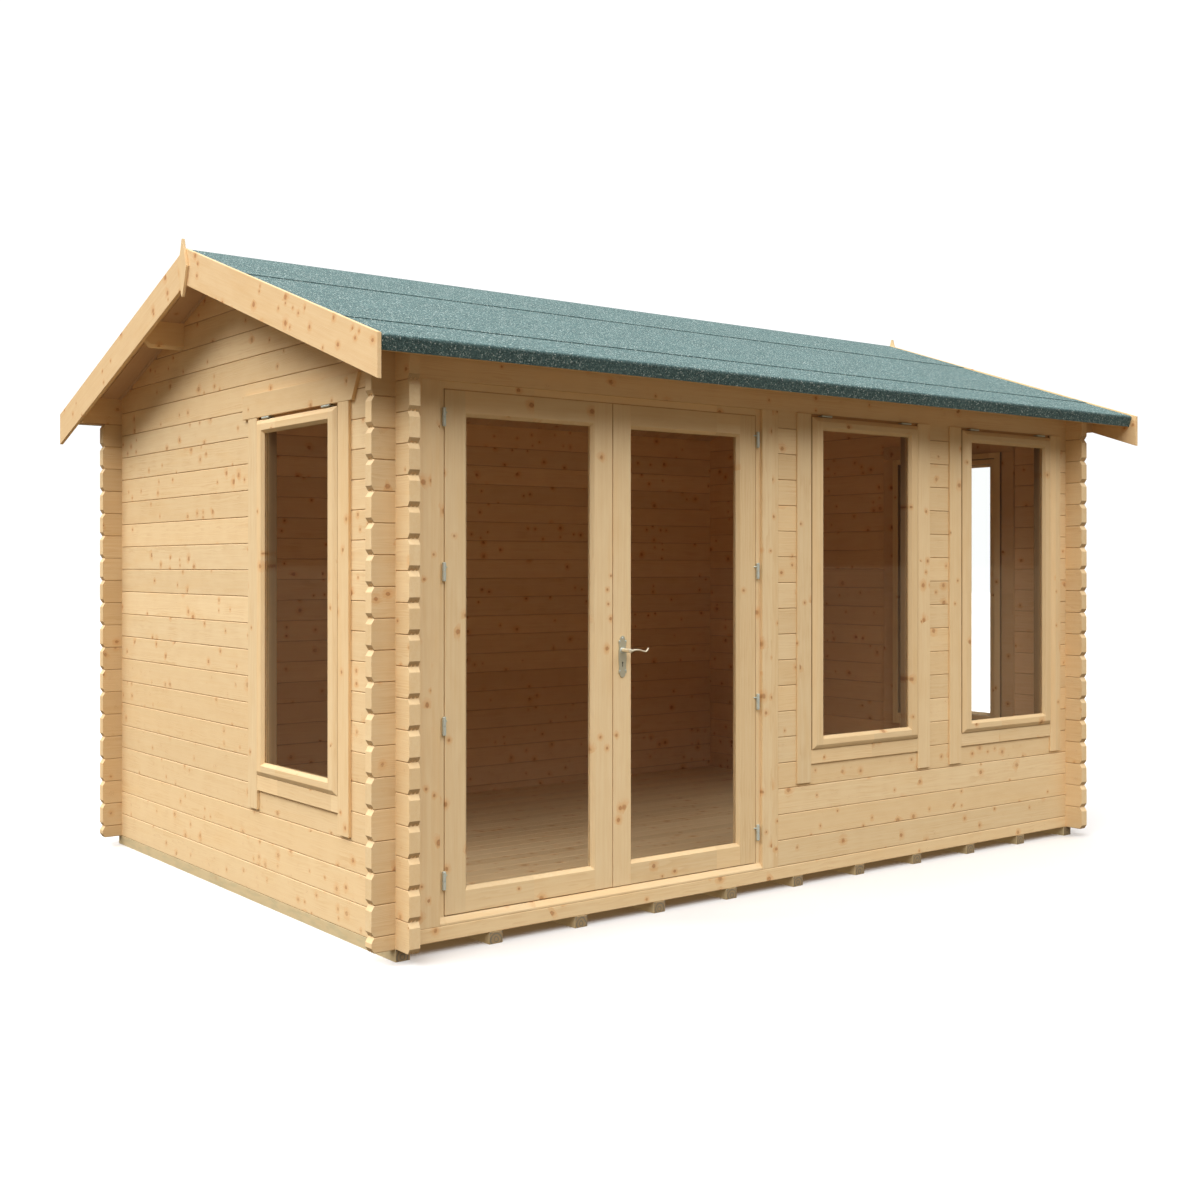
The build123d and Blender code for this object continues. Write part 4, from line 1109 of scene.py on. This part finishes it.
for wall, plane, centres, low, face, windows in (
        ("front", 0, W_CENTRES, FRONT_LOW, FACE_Y, ("front_middle_window", "front_right_window")),
        ("gable", 1, (GABLE_Y,), GABLE_LOW, FACE_X, ("left_gable_window", "right_gable_window"))):
    # The sashes and frames get painted shade on their reveals behind the pane.
    stain_or_shade, seed = painted_shade_behind_pane(1 - plane, face), 430.0 + 20 * plane
    sash = timber(f"spruce_{wall}_sashes", joinery(plane, centres, 0.361, 0.057, low + SASH_FOOT, low + SASH_TOP,
                                                   0.045, seed), 0.7, 0.6, stain_or_shade)
    frame_wood = timber(f"spruce_{wall}_frames", joinery(plane, centres, 0.385, 0.040, low, low + WINDOW_HIGH,
                                                         0.055, seed + 40), 0.7, 0.4, stain_or_shade)
    for window in windows:
        eased(window + "_sash", sash)
        eased(window + "_frame", frame_wood)
print("eased boards made")


# %% [markdown]
# ## Bargeboards
#
# The felt stops at the bargeboards, whose upper edges stand a little proud of
# it. So the upper corners of each bargeboard move up by a few millimetres. New
# boards would do as well, but the copies already have their slanted ends.

# %% Ease and lift the bargeboards
def lift_top_edge(piece, rise):
    """Moves the corners of a sloping board's upper edge up. Height over the slope is z + slope * |y|."""
    corners = np.empty(len(piece.data.vertices) * 3, dtype=np.float32)
    piece.data.vertices.foreach_get("co", corners)
    corners = corners.reshape(-1, 3)
    over_slope = corners[:, 2] + SLOPE * np.abs(corners[:, 1])
    upper = over_slope > over_slope.max() - 1 * MM
    corners[upper, 2] += rise
    piece.data.vertices.foreach_set("co", corners.ravel())
    piece.data.update()
    print(piece.name, "lifted", int(upper.sum()), "of", len(corners), "corners")


for node in ("barge_boards_front", "barge_boards_back"):
    lift_top_edge(eased(node, sloping), 4 * MM)


# %% [markdown]
# ## Purlins
#
# A purlin goes through both gable walls. In the walls it fills its hole. In
# the room and under the roof's overhang its lower edges are bevelled, and the
# lower corner of each end is cut off at a slant. A Bevel modifier would round
# the whole length, so the bevel is a value that changes along the skin.

# %% Make the purlins
def purlin(side):
    """A purlin as a skin over sections along X. Each row below gives x, the bevel and how far the underside lifts."""
    half = [(ROOF_END, 14 * MM, 40 * MM), (ROOF_END - 45 * MM, 14 * MM, 0.0), (FACE_X + 1 * MM, 14 * MM, 0.0),
            (FACE_X, 1 * MM, 0.0), (FACE_X - CROSS_INNER, 1 * MM, 0.0), (FACE_X - CROSS_INNER - 1 * MM, 14 * MM, 0.0)]
    outlines = []
    for x, bevel, lift in half + [(-x, bevel, lift) for x, bevel, lift in half[::-1]]:
        low = PURLIN_LOW + lift
        outlines.append([(x, side * PURLIN_NEAR, low + bevel), (x, side * (PURLIN_NEAR + bevel), low),
                         (x, side * (PURLIN_FAR - bevel), low), (x, side * PURLIN_FAR, low + bevel),
                         (x, side * PURLIN_FAR, float(underside(PURLIN_FAR))),
                         (x, side * PURLIN_NEAR, float(underside(PURLIN_NEAR)))])
    return (*skin(np.array(outlines)), {})


new_piece("bevelled_purlins", [purlin(-1), purlin(1)], level_x, ["purlins"])


# %% [markdown]
# ## Treated bearers
#
# The bearers are pressure-treated softwood: pale khaki with green salts left
# in the sapwood, rough from the saw. Their cut ends are darker, and there the
# salts show the growth rings in blue-grey. It is the same wood as the cabin, so
# the finish is the spruce with a stain and not a new one.

# %% Finish the bearers
BEARER_PITCH = 404 * MM
OUTER_BEARER = 2020 * MM


def treated(colour):
    """Stains spruce with treatment salts: khaki sapwood, brown ends, and grey rings round a pith on each end."""
    x, y, z = object_point(colour.tree).parts()
    salts = soft_noise(place(x, y * 0.25, z), 0.022, 3.0)
    from_middle = (x + (OUTER_BEARER + BEARER_PITCH)).calc("PINGPONG", BEARER_PITCH / 2)
    wave = span(from_middle, z - 16 * MM).line(460.0, salts * 7.0).calc("SINE")
    end = sawn_end(colour.tree, (0.0, 1.0, 0.0))
    return coats(colour, (0.66, (204, 188, 148)),
                 (fade(salts, 0.42, 0.66) * 0.30, (174, 168, 134)),
                 (end * 0.80, (146, 118, 84)),
                 (fade(wave, -0.2, 0.9) * (end * 0.55), (84, 98, 98)))


eased("floor_bearers", timber("treated_bearers", single_board(1, 2, 0, 510.0), 1.6, 0.5, treated), 1.2 * MM)


# %% [markdown]
# ## Glass
#
# Clear float glass is nearly invisible from outside. What shows is the dim
# brown room behind it, so the pane lets almost all light straight through and
# keeps only a faint gloss. A refracting glass would be truer, but it darkens
# and speckles the room. The panes keep their CAD shape and only get the finish.

# %% Glaze the openings
def finish_nodes(finish, *names):
    """Gives CAD nodes one finish."""
    for name in names:
        node = nodes[name]
        for slot in node.material_slots:
            slot.material = finish
        if not node.material_slots:
            node.data.materials.append(finish)


clear, tree, shader = new_finish("window_glass_clear")
tree.nodes.remove(shader)
through = result("BsdfTransparent", (0.985, 0.992, 0.988, 1.0), tree=tree)
shine = result("BsdfGlossy", (1.0, 1.0, 1.0, 1.0), 0.02, tree=tree)
gloss = result("Fresnel", 1.45, tree=tree) * 0.05
set_sockets(tree.nodes["Material Output"], Surface=result("MixShader", gloss, through, shine))
finish_nodes(clear, "door_glass_left", "door_glass_right", "window_glass")
print("panes glazed")


# %% [markdown]
# ## Roofing felt
#
# Green mineral felt is bitumen with crushed slate pressed into it. Each flake
# is one to three millimetres, some pale, some nearly black, so the sheet looks
# speckled. Where it is folded down at the eave it is darkened by painted shade.
# Millions of flakes could be scattered, but cells of noise look the same from
# where one stands, and cost nothing.

# %% Make the felt
felt, tree, shader = new_finish("roof_felt_green")
point = object_point(tree)
shade = result("TexVoronoi", point, 310.0, output="Color", feature="F1").parts("Color")
grit = add(tree, "TexVoronoi", point, 165.0, feature="F1")
picked = fade(Value(grit.outputs["Color"]).parts("Color")[0], 0.93, 0.95)
pale = picked * (1.0 - fade(Value(grit.outputs["Distance"]), 0.35, 0.60))
clump = soft_noise(point, 0.009, 3.0, 0.7)
patch = soft_noise(point, 0.25, 3.0, 0.6)
# Painted shade: the felt that turns down at the eave is darkened.
fold_shade = 1.0 - fade(looks(tree).parts()[2], 0.15, 0.75)
green = coats(mixed(fade(shade[0], 0.1, 0.9), paint(72, 100, 100), paint(119, 147, 145)),
              (fade(shade[1], 0.90, 0.93) * 0.80, (212, 226, 220)),
              (fade(shade[2], 0.78, 0.86) * 0.75, (34, 46, 46)),
              (fade(clump, 0.42, 0.60) * 0.66, (56, 80, 81)),
              (pale * 0.85, (226, 238, 232)),
              (fade(patch, 0.35, 0.75) * 0.20, (106, 136, 135)),
              (fold_shade * 0.36, (40, 52, 50)))
set_sockets(shader, Base_Color=green, Roughness=0.9, Specular_IOR_Level=0.25,
            Normal=bumps(shade[0].line(0.6, clump), 0.5, 0.0012))
finish_nodes(felt, "felt_ridge_strip", "felt_middle_strips", "felt_eave_strips")
print("felt has", len(tree.nodes), "nodes")


# %% [markdown]
# ## Ironmongery
#
# The hinges are zinc-plated steel and the lever set is satin nickel. Both are
# softly polished: fine brush marks, and a roughness that varies in patches. A
# plain grey metal looks dead when it has little to reflect, so each is part
# metal and part paint.

# %% Make the metals
def metal(name, tone, rough, share):
    """A softly polished metal with fine upright brush marks. share is how metallic its skin is."""
    finish, tree, shader = new_finish(name)
    point = object_point(tree)
    x, y, z = point.parts()
    marks = soft_noise(place(x, y, z * 0.08), 0.0007, 2.0)
    patches = soft_noise(point, 0.012, 2.0)
    low = (*(channel * 0.82 for channel in tone[:3]), 1.0)
    set_sockets(shader, Base_Color=mixed(marks, low, tone), Metallic=share,
                Roughness=patches.line(0.14, marks.line(0.10, rough)), Normal=bumps(marks, 0.15, 0.0002))
    return finish


zinc = metal("zinc_plate", paint(214, 222, 212), 0.34, 0.30)
# Painted highlight: the lever's nickel is lighter and warmer than the plate's, standing for the light it catches.
nickel_painted_highlight = metal("satin_nickel", paint(255, 245, 218), 0.18, 0.50)
plate_nickel = metal("satin_nickel_plate", paint(214, 209, 184), 0.26, 0.50)
bright_steel = metal("polished_screw_steel", paint(238, 248, 246), 0.16, 0.50)
# The lock iron is near black: it paints the shade inside the keyhole as well as the lock's case.
lock_iron_and_keyhole_shade = metal("lock_iron_keyhole_shade", paint(52, 44, 38), 0.45, 0.40)
print("five metals made")


# %% [markdown]
# ## Turned and swept metal
#
# Hinge barrels, screws and the hub of the lever are turned parts: a profile of
# distances along an axis and radii, carried round that axis. A collar with a
# hole is a closed section carried round in the same way. The lever's arm is a
# rod that follows a smooth curve and gets thinner along it. Screw modifiers and
# curves could make these, but arrays give the exact sizes at once.

# %% Define turned and swept shapes
def rings_about(profile, origin, direction, sides):
    """Rings (points, sides, 3): origin + distance * axis + radius * (cos a * u + sin a * v) for (distance, radius)."""
    axis = np.array(direction, dtype=float) / np.linalg.norm(direction)
    u = np.cross(axis, (0.0, 0.0, 1.0) if abs(axis[2]) < 0.9 else (1.0, 0.0, 0.0))
    u /= np.linalg.norm(u)
    v = np.cross(axis, u)
    angle = np.arange(sides) * 2 * math.pi / sides
    circle = np.cos(angle)[:, None] * u + np.sin(angle)[:, None] * v
    profile = np.array(profile, dtype=float)
    return np.array(origin) + profile[:, :1, None] * axis + profile[:, 1:, None] * circle


def turned(profile, origin, direction, sides=20):
    """A turned solid, filled at both ends."""
    return (*skin(rings_about(profile, origin, direction, sides)), {})


def collar(section, origin, direction, sides=28):
    """A turned ring: its closed section is joined to itself all the way round."""
    rings = rings_about(section, origin, direction, sides)
    corner = np.arange(rings[..., 0].size).reshape(rings.shape[:2])
    return rings.reshape(-1, 3), walls(np.concatenate([corner, corner[:1]])).tolist(), {}


def bar(outline, axis, start, stop):
    """A straight bar without timber marks."""
    return (*plank(outline, axis, start, stop)[:2], {})


def swept(points, y, sides=14, steps=60):
    """A rod in the upright plane at y through points (x, z, radius).

    Between two points each value is a cubic whose slope at a point is half the step between its neighbours.
    Each ring lies square to the curve.
    """
    points = np.array(points, dtype=float)
    padded = np.concatenate([2 * points[:1] - points[1:2], points, 2 * points[-1:] - points[-2:-1]])
    at = np.linspace(0, len(points) - 1, steps)
    left = np.minimum(at.astype(int), len(points) - 2)
    t = (at - left)[:, None]
    before, first, second, after = (padded[left + step] for step in range(4))
    curve = 0.5 * (2 * first + (second - before) * t + (2 * before - 5 * first + 4 * second - after) * t ** 2
                   + (3 * first - before - 3 * second + after) * t ** 3)
    ahead = np.gradient(curve[:, :2], axis=0)
    ahead /= np.linalg.norm(ahead, axis=1, keepdims=True)
    angle = np.arange(sides) * 2 * math.pi / sides
    round_x = -ahead[:, 1:2] * np.cos(angle) * curve[:, 2:]
    round_z = ahead[:, :1] * np.cos(angle) * curve[:, 2:]
    rings = np.stack([curve[:, :1] + round_x, y + np.sin(angle) * curve[:, 2:], curve[:, 1:2] + round_z], axis=2)
    return (*skin(rings), {})


print("turned and swept shapes ready")


# %% [markdown]
# ## Door hinges
#
# Each leaf hangs on four drill-in hinges. A barrel stands in front of the joint
# between leaf and jamb: its upper half turns with the leaf, its lower half
# stays on the frame, and a pin from each goes into the wood. The outer end of
# each half is a small turned cap. Plain cylinders would do from afar, but the
# cap and the joint between the halves make it a hinge, so both are turned.

# %% Make the door hinges
LEAF_FACE = -1415 * MM
BARREL_OUT = 8.5 * MM
HINGE_HALF = 800 * MM
PIN_RISE, PIN_ASIDE, PIN = 18 * MM, 14 * MM, 3 * MM
HINGE_CENTRES = np.array([266.0, 837.5, 1409.0, 1982.5]) * MM
HALF_BARREL = np.array([(0.5, 6.6), (1.1, 7.4), (27.4, 7.4), (28.0, 6.7), (29.2, 6.7), (29.8, 7.5),
                        (32.6, 7.5), (34.2, 6.3), (35.2, 4.2), (35.5, 1.0)]) * MM


def hinge_halves(side, up):
    """Barrels and pins of one row of hinges, on the leaf (up = 1) or on the jamb (up = -1)."""
    parts = []
    x, y = DOOR_X + side * HINGE_HALF, LEAF_FACE - BARREL_OUT
    sideways = -side * PIN_ASIDE if up > 0 else 0.0
    reach = math.hypot(sideways, BARREL_OUT)
    for z in HINGE_CENTRES:
        parts.append(turned(HALF_BARREL, (x, y, z), (0, 0, up)))
        parts.append(turned([(PIN, PIN), (reach + PIN, PIN)], (x, y, z + up * PIN_RISE),
                            (sideways, BARREL_OUT, 0), 12))
    return parts


for side, name in ((-1, "left"), (1, "right")):
    new_piece("hinge_tops_" + name, hinge_halves(side, 1), zinc, ["door_hinges_" + name], smooth=True)
new_piece("hinge_feet", hinge_halves(-1, -1) + hinge_halves(1, -1), zinc, ["door_hinges_frame"], smooth=True)


# %% [markdown]
# ## Window hinges
#
# Each sash hangs from two butt hinges in the gap over it. What shows is the
# barrel, five knuckles on a pin, and the flap that runs back to the frame. The
# knuckles could be five pieces, but one turned profile with dips does it.

# %% Make the window hinges
def knuckle_profile(long, radius, count=5):
    """A barrel cut into knuckles: its radius dips at each joint and at both ends."""
    edges = np.linspace(-long / 2, long / 2, count + 1)
    rows = []
    for start, stop in zip(edges, edges[1:]):
        rows += [(start, radius * 0.86), (start + 0.6 * MM, radius), (stop - 0.6 * MM, radius)]
    return [*rows, (edges[-1], radius * 0.86)]


def window_hinge(face, centre, z, gable):
    """One hinge. face is the wall's face with its sign, centre the hinge's place along the wall."""
    out = math.copysign(1.0, face)
    depth = face + out * 16 * MM
    back = face - out * 24 * MM
    half = 32.5 * MM
    middle = (depth, centre, z) if gable else (centre, depth, z)
    barrel = turned(knuckle_profile(2 * half, 4.5 * MM), middle, (0, 1, 0) if gable else (1, 0, 0), 18)
    near, far = sorted((depth, back))
    flap = [(near, z - 1.3 * MM), (far, z - 1.3 * MM), (far, z + 1.3 * MM), (near, z + 1.3 * MM)]
    return [barrel, bar(flap, 1 if gable else 0, centre - half, centre + half)]


HINGE_RISE = 6.5 * MM
knuckles = []
for offset in (-272 * MM, 272 * MM):
    for middle_x in W_CENTRES:
        knuckles += window_hinge(-FACE_Y, middle_x + offset, FRONT_LOW + SASH_TOP + HINGE_RISE, False)
    for side in (-1, 1):
        knuckles += window_hinge(side * FACE_X, GABLE_Y + offset, GABLE_LOW + SASH_TOP + HINGE_RISE, True)
new_piece("window_hinge_knuckles", knuckles, zinc, ["window_hinges"], smooth=True)


# %% [markdown]
# ## Lever set
#
# A long shaped plate on each face of the right leaf carries a scroll lever. The
# plates keep their CAD outline with rounded edges. Four screws, a collar round
# the spindle and a small boss in the top lobe are turned parts. A dark plate
# behind the keyhole is the case of the lock; its dark tone paints the keyhole's
# shade. The lever has a hub that stands 56 mm off the leaf, a knob where the arm
# starts, and a thin arm that dips and curls up at its tip. It could be sculpted,
# but a few points with radii give the same curve and can be changed one by one.

# %% Make the lever set
LEVER_X, LEVER_Z = -993.5 * MM, 1089 * MM
SCREW = np.array([(-2.0, 3.4), (0.1, 3.6), (0.8, 3.1), (1.2, 2.1), (1.2, 1.5), (0.2, 1.1), (0.1, 0.2)]) * MM
BOSS = np.array([(-1.0, 4.4), (0.6, 4.4), (1.3, 3.6), (1.6, 2.0), (1.7, 0.3)]) * MM
SPINDLE_COLLAR = np.array([(-1.0, 9.3), (-1.0, 12.6), (0.9, 12.6), (1.9, 11.8), (2.2, 10.6), (1.9, 9.6)]) * MM
HUB = np.array([(5.2, 8.4), (5.6, 8.9), (8.4, 8.9), (9.6, 8.3), (37, 8.3), (40, 8.6), (43, 8.9), (52, 8.9),
                (54.6, 7.8), (55.7, 5.8), (56.0, 3.0), (56.0, 0.4)]) * MM
ARM = np.array([(0, 0, 7.0), (9, -0.8, 6.9), (15, 0.0, 5.0), (26, 1.8, 3.9), (40, 2.2, 3.3), (55, 0.2, 3.1),
                (70, -4.2, 3.1), (81, -6.2, 3.2), (88, -3.6, 3.4), (93, 1.6, 3.8), (94.8, 5.6, 4.2), (95.4, 8.0, 3.4),
                (95.7, 9.6, 0.6)]) * MM
eased("handle_plates", plate_nickel, 1.2 * MM, 3)
on_plates, lever_parts, lock_and_keyhole_shade_parts = [], [], []
for out, face in ((-1, LEAF_FACE), (1, LEAF_FACE + 45 * MM)):
    plate_y = face + out * 4 * MM
    for x, z in ((-15.3, 1126.5), (15.3, 1126.5), (-15.3, 1007.0), (15.3, 1007.0)):
        on_plates.append(turned(SCREW, (LEVER_X + x * MM, plate_y, z * MM), (0, out, 0), 16))
    on_plates.append(turned(BOSS, (LEVER_X, plate_y, 1139 * MM), (0, out, 0), 18))
    on_plates.append(collar(SPINDLE_COLLAR, (LEVER_X, plate_y, LEVER_Z), (0, out, 0)))
    lever_parts.append(turned(HUB, (LEVER_X, face, LEVER_Z), (0, out, 0), 28))
    lever_parts.append(swept(ARM + np.array([LEVER_X, LEVER_Z, 0]), face + out * 50 * MM))
    near, far = sorted((face - out * 1 * MM, face + out * 0.8 * MM))
    # The lock case behind each keyhole, whose near-black tone paints the keyhole's shade.
    lock_and_keyhole_shade_parts.append(bar([(LEVER_X - 6 * MM, near), (LEVER_X + 6 * MM, near), (LEVER_X + 6 * MM, far),
                           (LEVER_X - 6 * MM, far)], 2, 1016 * MM, 1046 * MM))
lever_parts.append(turned([(-5 * MM, 4.2 * MM), (50 * MM, 4.2 * MM)], (LEVER_X, LEAF_FACE, LEVER_Z), (0, 1, 0), 4))
new_piece("plate_screws_and_collars", on_plates, bright_steel, ["handle_plates"], smooth=True)
new_piece("lock_case_and_keyhole_shade_plates", lock_and_keyhole_shade_parts, lock_iron_and_keyhole_shade, ["handle_plates"], smooth=True)
new_piece("scroll_lever", lever_parts, nickel_painted_highlight, ["door_lever"], smooth=True)


# %% [markdown]
# ## Head seals
#
# The gap over the door leaves is closed by a flat brown seal that is let into
# the frame's head, as cabin doors have. The gap over each sash has a wider one.
# They keep those joints from looking black. Each is one plain bar, because only
# its lower edge is seen.

# %% Fit the head seals
seal, tree, shader = new_finish("brown_seal")
x, y, z = object_point(tree).parts()
fuzz = soft_noise(place(x * 0.2, y, z), 0.002, 3.0)
set_sockets(shader, Base_Color=mixed(fuzz, paint(190, 146, 98), paint(216, 174, 122)), Roughness=0.85)


def strip(plane, near, deep, low, high, middle, half):
    """A bar along axis `plane`, `deep` through the wall from `near`, and reaching `half` to each side."""
    far = near + deep
    return bar([(near, low), (far, low), (far, high), (near, high)], plane, middle - half, middle + half)


def sash_seal(plane, side, face, middle, window_low):
    """The seal over one sash, in the wall whose face stands at side * face."""
    near = min(side * (face - 7 * MM), side * (face - 22 * MM))
    low = window_low + SASH_TOP + 1.2 * MM
    return strip(plane, near, 15 * MM, low, low + 13.6 * MM, middle, 383 * MM)


door_strip = strip(0, LEAF_FACE + 1.2 * MM, 9.8 * MM, 2086.4 * MM, 2090.5 * MM, DOOR_X, 790 * MM)
new_piece("door_head_seal", [door_strip], seal, ["door_frame"])
strips = [sash_seal(0, -1, FACE_Y, middle_x, FRONT_LOW) for middle_x in W_CENTRES]
strips += [sash_seal(1, side, FACE_X, GABLE_Y, GABLE_LOW) for side in (-1, 1)]
new_piece("window_head_seals", strips, seal, ["front_middle_window_frame", "front_right_window_frame",
                                              "left_gable_window_frame", "right_gable_window_frame"])
